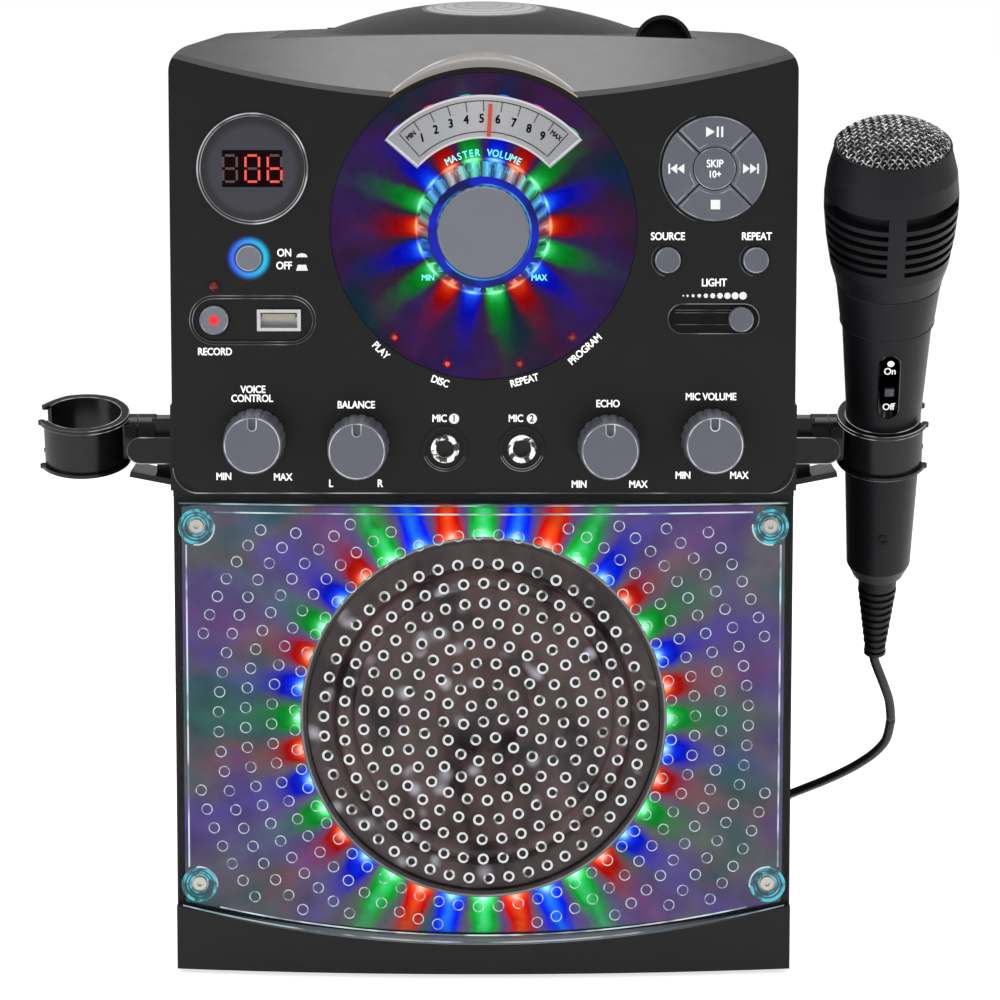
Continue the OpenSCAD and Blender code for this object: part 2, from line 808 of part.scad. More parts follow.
module cover_screws() place() color([0.7, 0.68, 0.62]) {
    for (s = [-1, 1]) for (z = screw_z) difference() {
        union() {
            bar_y(s * screw_x, z, 1.1, 1.5, 3.2);
            bar_y(s * screw_x, z, -0.4, 1.2, 2.3);
            bar_y(s * screw_x, z, 1.4, 12, screw_r - 0.1);
        }
        bar_y(s * screw_x, z, -1, 0.5, 1);
    }
}

// Turns a profile drawn as radius and depth about the loudspeaker's axis
module spin_y(x, z) {
    translate([x, 0, z]) rotate([-90, 0, 0]) rotate_extrude() children();
}

magnet_r = 35;
module speaker_basket() place() color([0.12, 0.12, 0.13]) {
    front = 1.5;
    spin_y(0, speaker_z) {
        translate([speaker_r, front]) square([flange_r - speaker_r, baffle_y - front]);
        polygon([
            [speaker_r - 1.2, front], [speaker_r, front], [speaker_r, baffle_y],
            [speaker_r - 1.2, baffle_y + wall + 1], [magnet_r, 38], [magnet_r, 56], [8, 56], [8, 40],
            [magnet_r - 4, 36], [speaker_r - 3.5, baffle_y + 3], [speaker_r - 2.4, front + 1]
        ]);
    }
}

module speaker_cone() place() color([0.2, 0.2, 0.21]) {
    roll = 3.2;
    edge = speaker_r - 2.9;
    t = 0.8;
    spin_y(0, speaker_z) {
        // The rolled surround
        translate([edge - roll, 3.4]) intersection() {
            ring_2d(roll, roll - t);
            translate([-roll, -roll]) square([2 * roll, roll]);
        }
        // The cone
        polygon([
            [edge - 2 * roll, 3.4], [edge - 2 * roll + t, 3.4], [dust_r, cone_depth + t], [dust_r - 1, cone_depth]
        ]);
    }
    // The dust cap
    cap_r = 24;
    intersection() {
        translate([0, cone_depth - 7 + cap_r, speaker_z]) sphere(cap_r);
        bar_y(0, speaker_z, 0, cone_depth + 0.5, dust_r);
    }
}

// Collar round the loudspeaker with lamps that point outwards
lamp_out = 8;
speaker_lamp_r = 2.5;
module speaker_lamp_ring() place() color([0.85, 0.9, 0.88]) {
    slab(-1.8, baffle_y + 1.8) translate([0, speaker_z]) ring_2d(ring_r, flange_r + 0.3);
    for (i = [0:speaker_lamps - 1]) translate([0, 0.8, speaker_z]) rotate([0, 360 * i / speaker_lamps, 0])
        translate([ring_r - eps, 0, 0]) rotate([0, 90, 0]) cylinder(h = lamp_out, r = speaker_lamp_r);
}

// Tray under the deck that holds the disc
well_floor = 306;
well_r = disc_r + disc_room;
scoop_x = 57;
scoop_r = 11;
well_wall = 2;
slot_half = 9;
well_top = lid_z - gap;
module disc_well() place() color([0.13, 0.13, 0.14]) {
    flange_z = well_top - 2.4;
    lug = lug_w - gap;
    difference() {
        union() {
            translate([-lid_x - 4, lid_y1 - 2.6, flange_z]) cube([2 * lid_x + 8, 154.6, 2.4]);
            translate([0, disc_y, well_floor - well_wall])
                linear_extrude(flange_z + 1 - well_floor + well_wall) {
                    circle(well_r + well_wall);
                    for (s = [-1, 1]) translate([s * scoop_x, 0]) circle(scoop_r + well_wall);
                }
        }
        translate([0, disc_y, well_floor]) cylinder(h = 30, r = well_r);
        for (s = [-1, 1]) translate([s * scoop_x, disc_y, well_floor + 5]) cylinder(h = 30, r = scoop_r);
        translate([0, disc_y, well_floor - 5]) cylinder(h = 10, r = hub_r + 1.5);
        // The slot through which the lens reads the disc
        translate([-slot_half, sled_y - sled_travel - lens_r - 0.4, well_floor - 5])
            cube([2 * slot_half, disc_y - sled_y + sled_travel + lens_r + 0.4, 10]);
        // Room for the lid's knuckles
        for (s = [-1, 1])
            translate([s > 0 ? hinge_x1 - gap : -hinge_x2 - gap, lid_y2 - 0.5, flange_z - 1])
                cube([hinge_x2 - hinge_x1 + 2 * gap, 9, 10]);
    }
    // Lugs that carry the hinge pins
    for (s = [-1, 1]) {
        x = s > 0 ? hinge_x2 + gap : -hinge_x2 - gap - lug;
        translate([x, hinge_y - 2.6, flange_z]) cube([lug, 5.2, hinge_z - flange_z]);
        translate([x, hinge_y, hinge_z]) rotate([0, 90, 0]) cylinder(h = lug, r = 2.6);
        translate([s > 0 ? hinge_x1 : -hinge_x2 - gap - 1, hinge_y, hinge_z]) rotate([0, 90, 0])
            cylinder(h = hinge_x2 - hinge_x1 + gap + 1, r = pin_r);
    }
}

// Lid with its dome, window seat, finger hood and hinge knuckles
hood_x = 62.5;
hood_r = 10;
hood_z = deck_z - 3.2;
window_y = disc_y - 17;
dome_foot = 62;
// A cap of the dome's sphere, cut to a radius and standing on the given height
module dome_cap(sphere_r, cut_r, from_z) {
    translate([0, disc_y, 0]) rotate_extrude() intersection() {
        translate([0, dome_z - dome_r]) circle(sphere_r, $fn = big_fn);
        translate([0, from_z]) square([cut_r, 30]);
    }
}

module lid_body() {
    intersection() {
        translate([-lid_x, lid_y1, lid_z - 5]) cube([2 * lid_x, lid_y2 - lid_y1, 40]);
        union() {
            slab(lid_y1 - 1, lid_y2 - lid_y1 + 2) crown_2d(lid_x, lid_z);
            dome_cap(dome_r, dome_foot, lid_z);
        }
    }
}

module disc_lid() place() color([0.2, 0.2, 0.21]) {
    hood_back = 26;
    dome_t = 2.2;
    difference() {
        union() {
            lid_body();
            // The finger hood: a half-round roof that falls away to the back
            difference() {
                intersection() {
                    translate([hood_x, lid_y1 + 1, hood_z]) rotate([-90 - 9, 0, 0]) cylinder(h = hood_back, r = hood_r);
                    translate([hood_x - hood_r, lid_y1 + 1, lid_z]) cube([2 * hood_r, hood_back, 14]);
                }
                translate([hood_x, lid_y1 - 1, hood_z]) rotate([-90 - 9, 0, 0]) cylinder(h = 14, r = hood_r - 1.1);
            }
            for (s = [-1, 1]) translate([s > 0 ? hinge_x1 : -hinge_x2, 0, 0]) {
                translate([0, hinge_y, hinge_z]) rotate([0, 90, 0]) cylinder(h = hinge_x2 - hinge_x1, r = knuckle_r);
                translate([0, lid_y2 - eps, lid_z]) cube([hinge_x2 - hinge_x1, hinge_y - lid_y2, 3.2]);
            }
        }
        // Hollow under the dome
        dome_cap(dome_r - dome_t, 54, lid_z - 1);
        translate([0, window_y, lid_z - 1]) cylinder(h = 30, r = lid_window_r - 1.5);
        dome_shell(1, -window_t) translate([0, window_y, lid_z]) cylinder(h = 30, r = lid_window_r);
        for (s = [-1, 1]) translate([s > 0 ? hinge_x1 - 1 : -hinge_x2 - 1, hinge_y, hinge_z]) rotate([0, 90, 0])
            cylinder(h = hinge_x2 - hinge_x1 + 2, r = pin_r + shaft_gap);
    }
}

// The part of the children between two spheres about the dome's centre
module dome_shell(above, below) {
    intersection() {
        difference() {
            translate([0, disc_y, dome_z - dome_r]) sphere(dome_r + above, $fn = big_fn);
            translate([0, disc_y, dome_z - dome_r]) sphere(dome_r + below, $fn = big_fn);
        }
        children();
    }
}

window_t = 1.2;
module lid_window() place() color([0.7, 0.7, 0.75, 0.5]) {
    fit = 0.02;
    difference() {
        dome_shell(0, -window_t + fit) translate([0, window_y, lid_z]) cylinder(h = 30, r = lid_window_r - 0.1);
        // Fine rings moulded into the window
        dome_shell(1, -0.3) translate([0, window_y, lid_z]) linear_extrude(30)
            for (r = [6:4:18]) ring_2d(r + 0.5, r);
    }
}

// Drive under the well: plate, rails, spindle motor and feed motor
plate_z = 294;
plate_top = 295.5;
rail_z = 299.5;
sled_y = disc_y - 24;
gear_r = gear_m * gear_teeth / 2;
flank_a = 20; // the usual pressure angle of the teeth
tooth_up = 0.85 * gear_m;
tooth_down = 1.1 * gear_m;
rack_bar = 2.2;
rack_x = rail_x + 3.5 + rack_bar + tooth_down;
gear_x = rack_x + gear_r;
gear_y = sled_y;
rack_z = 297.4;
rack_t = 3;
spindle_r = 1;
lens_r = 3.6;
rail_y1 = sled_y - sled_travel - 9.5;
rail_y2 = sled_y + 33;
module disc_chassis() place() color([0.62, 0.64, 0.66]) {
    difference() {
        translate([-48, rail_y1 - 4, plate_z]) cube([96, disc_y + 42 - rail_y1, plate_top - plate_z]);
        translate([0, disc_y, plate_z - 1]) cylinder(h = 4, r = spindle_r + 1.5);
        translate([gear_x, gear_y, plate_z - 1]) cylinder(h = 4, r = spindle_r + 1.5);
    }
    // Posts up to the underside of the well
    for (sx = [-1, 1]) for (y = [disc_y - 40, disc_y + 36])
        translate([sx * 44, y, plate_top - eps]) cylinder(h = well_floor - well_wall - plate_top - 0.1, r = 3);
    // Rails in their end blocks
    for (sx = [-1, 1]) {
        translate([sx * rail_x, rail_y1 - 2, rail_z]) rotate([-90, 0, 0]) cylinder(h = rail_y2 - rail_y1, r = rail_r);
        for (y = [rail_y1 - 4, rail_y2 - 4]) translate([sx * rail_x - 3, y, plate_top - eps]) cube([6, 4, 6.5]);
    }
    // Spindle motor and feed motor, hung under the plate
    for (p = [[0, disc_y, 12], [gear_x, gear_y, 8]]) difference() {
        translate([p[0], p[1], plate_z - 10]) cylinder(h = 10 + eps, r = p[2]);
        translate([p[0], p[1], plate_z - 6]) cylinder(h = 10, r = spindle_r + shaft_gap);
    }
}

module disc_hub() place() color([0.1, 0.1, 0.1]) {
    translate([0, disc_y, plate_z - 5]) cylinder(h = disc_z - 3 - plate_z + 5, r = spindle_r);
    translate([0, disc_y, disc_z - 3.2]) cylinder(h = 3.2, r = hub_r);
    translate([0, disc_y, disc_z - eps]) cylinder(h = 2.4, r = spigot_r);
    translate([0, disc_y, disc_z + 2.4 - 2 * eps]) cylinder(h = 1.2, r1 = spigot_r, r2 = spigot_r - 1.6);
}

module rack_2d(n0, n1) {
    pitch = PI * gear_m;
    half = pitch / 4 - backlash;
    tan_a = tan(flank_a);
    for (i = [n0:n1]) translate([0, (i + 0.5) * pitch]) polygon([
        [-tooth_down - 1, -half - tooth_down * tan_a], [-tooth_down, -half - tooth_down * tan_a],
        [tooth_up, -half + tooth_up * tan_a], [tooth_up, half - tooth_up * tan_a],
        [-tooth_down, half + tooth_down * tan_a], [-tooth_down - 1, half + tooth_down * tan_a]
    ]);
    translate([-tooth_down - rack_bar, n0 * pitch]) square([rack_bar, (n1 - n0 + 1) * pitch]);
}

module laser_sled() place() color([0.16, 0.16, 0.18]) {
    half_l = 9;
    z0 = plate_top + 1;
    top = 302.6;
    difference() {
        union() {
            translate([-26, sled_y - half_l, z0]) cube([52, 2 * half_l, top - z0]);
            translate([0, sled_y, top - eps]) cylinder(h = 1.8, r = lens_r);
        }
        for (sx = [-1, 1]) translate([sx * rail_x, sled_y - 30, rail_z]) rotate([-90, 0, 0])
            cylinder(h = 60, r = rail_r + shaft_gap);
        translate([0, sled_y, top]) cylinder(h = 4, r = lens_r - 1);
        translate([-14, sled_y - half_l - 1, z0 - 1]) cube([28, 2 * half_l + 2, 3]);
    }
    // The rack that the feed gear drives
    translate([rack_x, sled_y, rack_z]) linear_extrude(rack_t) rack_2d(-3, 13);
}

// Half the angle of a tooth at radius r, from the involute of the base circle
function involute(a) = tan(a) * 180 / PI - a;
function involute_half(r) =
    let (base = gear_r * cos(flank_a), half_tooth = PI * gear_m / 4 - backlash)
    half_tooth / gear_r * 180 / PI + involute(flank_a) - involute(acos(min(1, base / r)));

module gear_2d() {
    base = gear_r * cos(flank_a);
    root = gear_r - tooth_down;
    tip = gear_r + tooth_up;
    steps = 5;
    foot = root * 0.98;
    radii = concat([foot], [for (k = [0:steps]) base + (tip - base) * k / steps]);
    halves = [for (r = radii) involute_half(max(r, base))];
    last = len(radii) - 1;
    circle(root);
    for (i = [0:gear_teeth - 1]) rotate(360 * i / gear_teeth) polygon(concat(
        [for (k = [0:last]) radii[k] * [cos(halves[k]), -sin(halves[k])]],
        [for (k = [last:-1:0]) radii[k] * [cos(halves[k]), sin(halves[k])]]
    ));
}

module feed_gear() place() color([0.85, 0.85, 0.8]) {
    translate([gear_x, gear_y, rack_z]) {
        linear_extrude(rack_t) rotate(180) gear_2d();
        translate([0, 0, rack_t - eps]) cylinder(h = 2, r = 3);
        translate([0, 0, plate_z - 5 - rack_z]) cylinder(h = 12, r = spindle_r);
    }
}

// Knobs
module volume_knob() place() color([0.42, 0.45, 0.5]) {
    back = 6;
    edge = 0.6;
    bar_y(0, dial_z, -volume_out + edge, -back, volume_r);
    translate([0, -volume_out + edge, dial_z]) rotate([90, 0, 0]) cylinder(h = edge, r1 = volume_r, r2 = volume_r - edge);
    bar_y(0, dial_z, -back - eps, 13, shaft_r);
}

// A fluted cone standing on the panel's plane, with its axis along Z
module fluted_cone(r_back, r_front, h, count, groove, plain = 0) {
    lean = atan((r_back - r_front) / h);
    difference() {
        cylinder(h = h, r1 = r_back, r2 = r_front);
        for (i = [0:count - 1]) rotate(360 * i / count) translate([r_back + 0.6 * groove, 0, 0])
            rotate([0, -lean, 0]) translate([0, 0, -2]) cylinder(h = h + 2 - plain, r = groove, $fn = 24);
    }
}

flutes = 30;
module volume_skirt() place() color([0.6, 0.75, 0.95, 0.6]) {
    back = 1.6;
    web_y = -6;
    bore = volume_r + gap;
    difference() {
        translate([0, -back, dial_z]) rotate([90, 0, 0])
            fluted_cone(skirt_r, skirt_r1, volume_out - 1.2 - back, flutes, 1.4, 1.5);
        bar_y(0, dial_z, -volume_out - 1, 0, bore);
    }
    slab(web_y, 1.2) translate([0, dial_z]) ring_2d(bore + eps, bush_r + 0.5);
}

pointer_rest = 3.3;
pointer_y = 1.05;
pointer_t = 0.4;
pointer_l = 41.7;
module volume_pointer() place() color([0.85, 0.1, 0.08]) {
    slab(pointer_y, pointer_t) translate([0, dial_z]) rotate(-pointer_rest) difference() {
        union() {
            circle(7);
            translate([-0.7, 5]) square([1.4, pointer_l - 5]);
        }
        circle(bush_r + shaft_gap);
    }
}

knob_flutes = 20;
module small_knob(x, z) {
    back = 0.6;
    edge = 0.5;
    notch_w = 2.2;
    notch_l = 4.4;
    length = knob_out - back;
    difference() {
        translate([x, -back, z]) rotate([90, 0, 0]) {
            fluted_cone(knob_r, knob_cap_r + 0.2, length - edge, knob_flutes, 0.9, 1.6);
            translate([0, 0, length - edge - eps]) cylinder(h = edge, r1 = knob_cap_r, r2 = knob_cap_r - edge);
        }
        // Room for the bush, and the pointer notch at the top of the face
        bar_y(x, z, -3.2, 0, bush_r + 0.3);
        slab(-knob_out - 1, 2) translate([x, z + knob_cap_r - notch_l + notch_w / 2]) {
            circle(notch_w / 2);
            translate([-notch_w / 2, 0]) square([notch_w, notch_l]);
        }
    }
    bar_y(x, z, -3.3, control_y - 2, shaft_r);
}

module knob_voice() place() color([0.25, 0.25, 0.27]) small_knob(-knob_x1, knob_z1);
module knob_balance() place() color([0.25, 0.25, 0.27]) small_knob(-knob_x2, knob_z2);
module knob_echo() place() color([0.25, 0.25, 0.27]) small_knob(knob_x2, knob_z2);
module knob_microphone() place() color([0.25, 0.25, 0.27]) small_knob(knob_x1, knob_z1);

// One of the four outer keys of the pad, turned to the given angle
module pad_key(a) {
    cut = 0.25;
    slab(-0.8, key_back - 1.2) translate([side_x, side_z]) rotate(a) difference() {
        intersection() {
            circle(pad_r);
            translate([cut * sqrt(2), 0]) polygon([[0, 0], [2 * pad_r, -2 * pad_r], [2 * pad_r, 2 * pad_r]]);
        }
        circle(skip_r + gap);
    }
    bar_y(side_x + pad_key_r * cos(a), side_z + pad_key_r * sin(a), 2, key_back, 2);
}

module key_next() place() color([0.4, 0.4, 0.42]) pad_key(0);
module key_play() place() color([0.4, 0.4, 0.42]) pad_key(90);
module key_previous() place() color([0.4, 0.4, 0.42]) pad_key(180);
module key_stop() place() color([0.4, 0.4, 0.42]) pad_key(270);
module key_skip() place() color([0.4, 0.4, 0.42]) {
    bar_y(side_x, side_z, -0.8, key_back - 2, skip_r);
    bar_y(side_x, side_z, 2, key_back, 2);
}

module round_button(at, r, out) {
    edge = 0.4;
    bar_y(at[0], at[1], -out + edge, 3, r);
    translate([at[0], -out + edge + eps, at[1]]) rotate([90, 0, 0]) cylinder(h = edge + eps, r1 = r, r2 = r - edge);
    bar_y(at[0], at[1], 2, key_back, 2);
}

module button_source() place() color([0.4, 0.4, 0.42]) round_button(source_at, button_r, 1.5);
module button_repeat() place() color([0.4, 0.4, 0.42]) round_button(repeat_at, button_r, 1.5);
module button_record() place() color([0.4, 0.4, 0.42]) round_button(record_at, button_r + 0.5, 0.8);
module button_power() place() color([0.3, 0.7, 0.9]) round_button(power_at, button_r, 2);

module lamp_slider() place() color([0.45, 0.45, 0.48]) {
    bar_y(slider_at[0], slider_at[1], -4, 0.7, slider_r);
    slab(0.6, 5.3) translate(slider_at) square([3, 2], center = true);
}

// Side brackets and clips: x0 is where the bracket meets the cabinet
plate_w = 2.5;
arm_end = half_w + 14.8;
neck_r = 8;
stub_r = 3;
stub_l = 3;
cheek_w = 10.8;
cheek_h = 9.4;
shelf_a = 11;
module clip_bracket(s) {
    mirror([s < 0 ? 1 : 0, 0, 0]) {
        translate([half_w, clip_y - 18, clip_z - 17]) cube([plate_w, 36, 30]);
        translate([half_w + plate_w - eps, clip_y - 6, clip_z - 7]) cube([arm_end - half_w - plate_w + eps - 5, 12, 14]);
        translate([arm_end - 6, clip_y, clip_z]) rotate([0, 90, 0]) cylinder(h = 6, r = neck_r);
        translate([arm_end - 1, clip_y, clip_z]) rotate([0, 90, 0]) cylinder(h = 1 + gap + stub_l, r = stub_r);
        // The round-ended cheek in front and the shelf below
        translate([half_w + plate_w, clip_y - 12, clip_z - 3.4]) rotate([90, 0, 0]) linear_extrude(2.5) {
            translate([-eps, -cheek_h / 2]) square([cheek_w + eps, cheek_h]);
            translate([cheek_w, 0]) circle(cheek_h / 2);
        }
        translate([half_w + plate_w - eps, clip_y - 12.5, clip_z - 8.1]) cube([cheek_w, 6.5 + eps, cheek_h]);
        intersection() {
            translate([half_w + plate_w, clip_y - 14.5, clip_z - 15.5]) rotate([0, -shelf_a, 0])
                translate([-3, 0, 0]) cube([18, 26, 2]);
            translate([half_w + plate_w - eps, clip_y - 20, clip_z - 20]) cube([20, 40, 20]);
        }
        translate([half_w + plate_w - eps, clip_y - 2, clip_z - 14.5]) cube([6, 4, 9]);
    }
}

module clip_bracket_left() place() color([0.1, 0.1, 0.1]) clip_bracket(-1);
module clip_bracket_right() place() color([0.1, 0.1, 0.1]) clip_bracket(1);

// Ring, flanges and neck of a clip, built about its own centre with the mouth towards +X
module clip(lean, roll = 0) {
    outer = clip_bore + clip_t;
    flange_t = 1.2;
    neck_x = arm_end + gap - clip_x;
    far = 60;
    difference() {
        union() {
            rotate([lean, roll, 0]) {
                translate([0, 0, -clip_h / 2]) cylinder(h = clip_h, r = outer);
                for (z = [-clip_h / 2, clip_h / 2 - flange_t]) translate([0, 0, z]) {
                    cylinder(h = flange_t, r = clip_flange);
                    // Round beads end the flanges beyond the mouth
                    for (a = [-1, 1]) rotate(a * bead_a) translate([bead_x, 0, 0]) cylinder(h = flange_t, r = bead_r);
                }
                translate([neck_x + 2, -5, -6.5]) cube([-neck_x - 2, 10, 13]);
            }
            translate([neck_x, 0, 0]) rotate([0, 90, 0]) cylinder(h = 4.2, r = neck_r);
        }
        rotate([lean, roll, 0]) {
            translate([0, 0, -clip_h]) cylinder(h = 2 * clip_h, r = clip_bore);
            translate([0, 0, -clip_h]) linear_extrude(2 * clip_h) difference() {
                polygon([[0, 0], far * [cos(mouth_a / 2), -sin(mouth_a / 2)], far * [cos(mouth_a / 2), sin(mouth_a / 2)]]);
                for (a = [-1, 1]) rotate(a * bead_a) translate([bead_x, 0]) circle(bead_r);
            }
            // Between the flanges the mouth is wider and its edges are plain
            translate([0, 0, -clip_h / 2 + flange_t]) linear_extrude(clip_h - 2 * flange_t)
                polygon([[0, 0], far * [cos(mouth_a / 2), -sin(mouth_a / 2)], far * [cos(mouth_a / 2), sin(mouth_a / 2)]]);
        }
        translate([neck_x - 1, 0, 0]) rotate([0, 90, 0]) cylinder(h = 1 + stub_l + gap, r = stub_r + shaft_gap);
    }
}

module clip_left() place() color([0.1, 0.1, 0.1])
    translate([-clip_x, clip_y, clip_z]) mirror([1, 0, 0]) clip(lean_left);
module clip_right() place() color([0.1, 0.1, 0.1])
    translate([clip_x, clip_y, clip_z]) clip(lean_right, mic_roll);

// The microphone's own frame: its axis is Z, with the clip's centre at zero
module on_mic() {
    place() translate([clip_x, clip_y, clip_z]) rotate([lean_right, mic_roll, 0]) children();
}

collar_z = 47.5;
neck_z = 63;
end_r = 11.4;
collar_r = 16.3;
neck_top_r = 18.1;
chamfer = 5.6;
grip_lo = -10;
module mic_handle() on_mic() color([0.08, 0.08, 0.09]) {
    difference() {
        rotate_extrude() polygon([
            [0, -handle_end - chamfer + 0.6], [9.1, -handle_end - chamfer + 0.6], [end_r, -handle_end],
            [grip_r - 0.2, grip_lo], [grip_r - 0.1, 10], [collar_r - 0.6, collar_z], [collar_r, collar_z],
            [neck_top_r, neck_z], [0, neck_z]
        ]);
        // Pocket for the switch plate and its slider
        translate([0, -20, switch_z]) rotate([-90, 0, 0]) linear_extrude(10) rotate(90) stadium(7.6, 4.4);
    }
}

switch_z = 28.5;
module mic_switch() on_mic() color([0.3, 0.3, 0.32]) {
    translate([-1.6, -15.8, switch_z - 3]) cube([3.2, 5.6, 3]);
}

function head_profile() = [
    [neck_top_r, neck_z + 0.2], [neck_top_r + 2.3, neck_z + 8], [head_r - 0.9, wide_z - 14],
    [head_r, head_lo], [head_r, wide_z + 2], [head_r - 0.8, wide_z + 10], [rim_r, rim_z]
];
module mic_head() on_mic() color([0.07, 0.07, 0.075]) {
    dome_sphere = (rim_r * rim_r + mesh_h * mesh_h) / (2 * mesh_h);
    slot_h = 2;
    slot_step = 3.7;
    core = 4.2;
    difference() {
        rotate_extrude() polygon(concat([[0, neck_z + 0.2]], head_profile(), [[0, rim_z]]));
        // Rows of vent slots on both sides of the front and rear ribs
        for (i = [0:vents - 1]) difference() {
            z = neck_z + 12 + slot_step * i;
            h = i == vents - 1 ? 2.4 * slot_h : slot_h;
            translate([0, 0, z]) difference() {
                cylinder(h = h, r = head_r + 2);
                translate([0, 0, -1]) cylinder(h = h + 2, r = head_r - core);
                for (a = [0, 90]) rotate(a) translate([-head_r - 3, -3, -1]) cube([2 * head_r + 6, 6, h + 2]);
            }
        }
    }
    // The mesh dome as one plain cap
    intersection() {
        translate([0, 0, rim_z + mesh_h - dome_sphere]) sphere(dome_sphere);
        translate([0, 0, rim_z - eps]) cylinder(h = mesh_h + 1, r = rim_r);
    }
}

boot_ribs = 9;
module mic_boot() on_mic() color([0.06, 0.06, 0.06]) {
    top = -handle_end - chamfer + 0.6;
    length = boot_end + top;
    plain = 5.5;
    step = (length - plain - 1.5) / boot_ribs;
    rotate_extrude() polygon([
        [0, top], [7.2, top], [6.8, top - plain], [6, top - plain], [cord_d / 2 + 1, -boot_end], [0, -boot_end]
    ]);
    for (i = [0:boot_ribs - 1]) {
        r = 6.9 - (6.9 - 3.5) * i / boot_ribs;
        translate([0, 0, top - plain - step * (i + 0.8)]) cylinder(h = 1.4, r = r);
    }
    translate([0, 0, -boot_end]) cylinder(h = 1.2, r = 4);
}

// The cord's route in the cabinet's coordinates, as round numbers
boot_dir = [
    -sin(mic_roll) * cos(lean_right), sin(lean_right), -cos(mic_roll) * cos(lean_right)
];
boot_tip = [clip_x, clip_y, clip_z] + boot_end * boot_dir;
route_upper = [
    boot_tip, boot_tip + cord_d * boot_dir, [147.2, 84.5, 87], [149.7, 88.5, 80], [150.9, 93, 72.4]
];
coil_at = [40, 236];
coil_inner = coil_r - coil_turns * coil_pitch / 2;
coil_outer = coil_inner + coil_turns * coil_pitch;
coil_entry = [coil_at[0] + coil_outer, coil_at[1] - cord_d, cord_d / 2];
route_lower = [
    [150.9, 93, 72.4], [149.9, 98.5, 64], [146.6, 104, 58], [141.7, 110, 52.7], [136.3, 117, 47.8],
    [129.2, 127, 42], [122.4, 137, 36.8], [117.4, 146, 32.5], [114.6, 155, 28], [113.2, 166, 22.5],
    [111.5, 178, 16.5], [108.5, 190, 10.5], [103, 201, 6], [94, 208, 3.2], [85, 213, 2], [77.5, 221, 1.75],
    coil_entry - [0.3, 2 * cord_d, 0], coil_entry - [0, cord_d, 0], coil_entry
];

function unit(v) = v / norm(v);
function tangent(p, i) = unit(p[min(i + 1, len(p) - 1)] - p[max(i - 1, 0)]);
function carry(u, t) = unit(u - (u * t) * t);
function frames(p, u0) = [
    for (i = 0, t = tangent(p, 0), u = carry(u0, t); i < len(p);
        i = i + 1, t = tangent(p, min(i, len(p) - 1)), u = carry(u, t)) [t, u]
];

// One closed tube swept along points, with end faces square to the given directions
module tube(p, d, sides, first = undef, last = undef, seed = [1, 0, 0]) {
    f = frames(p, seed);
    n = len(p);
    ring = [
        for (i = [0:n - 1])
            let (t = i == 0 && !is_undef(first) ? first : i == n - 1 && !is_undef(last) ? last : f[i][0],
                u = carry(f[i][1], t), v = cross(t, u))
            for (k = [0:sides - 1]) p[i] + d / 2 * (cos(360 * k / sides) * u + sin(360 * k / sides) * v)
    ];
    body = [
        for (i = [0:n - 2]) for (k = [0:sides - 1])
            let (a = i * sides + k, b = i * sides + (k + 1) % sides, c = a + sides, e = b + sides)
            each [[a, b, e], [a, e, c]]
    ];
    caps = [for (k = [1:sides - 2]) each [[0, k + 1, k], [(n - 1) * sides, (n - 1) * sides + k, (n - 1) * sides + k + 1]]];
    polyhedron(concat(ring), [for (q = concat(body, caps)) [q[0], q[2], q[1]]]);
}

// Points on a smooth curve through the route, several to each span
function spline_at(a, b, c, e, t) =
    0.5 * ((2 * b) + (c - a) * t + (2 * a - 5 * b + 4 * c - e) * t * t + (3 * b - a - 3 * c + e) * t * t * t);
function smooth(p, k) = concat(
    [for (i = [0:len(p) - 2]) for (j = [0:k - 1])
        spline_at(p[max(i - 1, 0)], p[i], p[i + 1], p[min(i + 2, len(p) - 1)], j / k)],
    [p[len(p) - 1]]
);

joint_dir = unit(route_lower[1] - route_upper[3]);
module cord_upper() place() color([0.05, 0.05, 0.05])
    tube(smooth(route_upper, 2), cord_d, 8, boot_dir, joint_dir);

module cord_lower() place() color([0.05, 0.05, 0.05])
    tube(smooth(route_lower, 3), cord_d, 8, joint_dir, [0, 1, 0]);

// The coil: one layer spirals in and the next out again at a steady rate, and the cord climbs
// from one to the next in the half turn round each reversal
coil_rings = 24;
coil_end = coil_layers * coil_turns - 0.75;
function climb(s) = (1 - cos(180 * min(1, max(0, 2 * s)))) / 2;
function coil_point(s) =
    let (layer = floor(s / coil_turns), t = s - layer * coil_turns,
        r = coil_inner + coil_pitch * (layer % 2 == 0 ? coil_turns - t : t),
        lift = climb(s - (coil_turns - 0.25)))
    [coil_at[0] + r * cos(360 * s), coil_at[1] + r * sin(360 * s), cord_d / 2 + coil_pitch * lift];
coil_turn_points = [for (i = [0:coil_rings * coil_end]) coil_point(i / coil_rings)];
coil_exit = coil_turn_points[len(coil_turn_points) - 1];
coil_tail = 27;
tail_steps = 8;
coil_points = concat(
    [coil_entry], coil_turn_points, [for (i = [1:tail_steps]) coil_exit - [coil_tail * i / tail_steps, 0, 0]]
);
coil_gap = min([
    for (i = [0:len(coil_points) - 1]) for (j = [i + coil_rings / 2:1:len(coil_points) - 1])
        norm(coil_points[i] - coil_points[j])
]) - cord_d;
module cord_coil() place() color([0.05, 0.05, 0.05]) {
    echo(least_gap_of_coil = coil_gap);
    tube(coil_points, cord_d, 6, [0, 1, 0], [-1, 0, 0]);
}

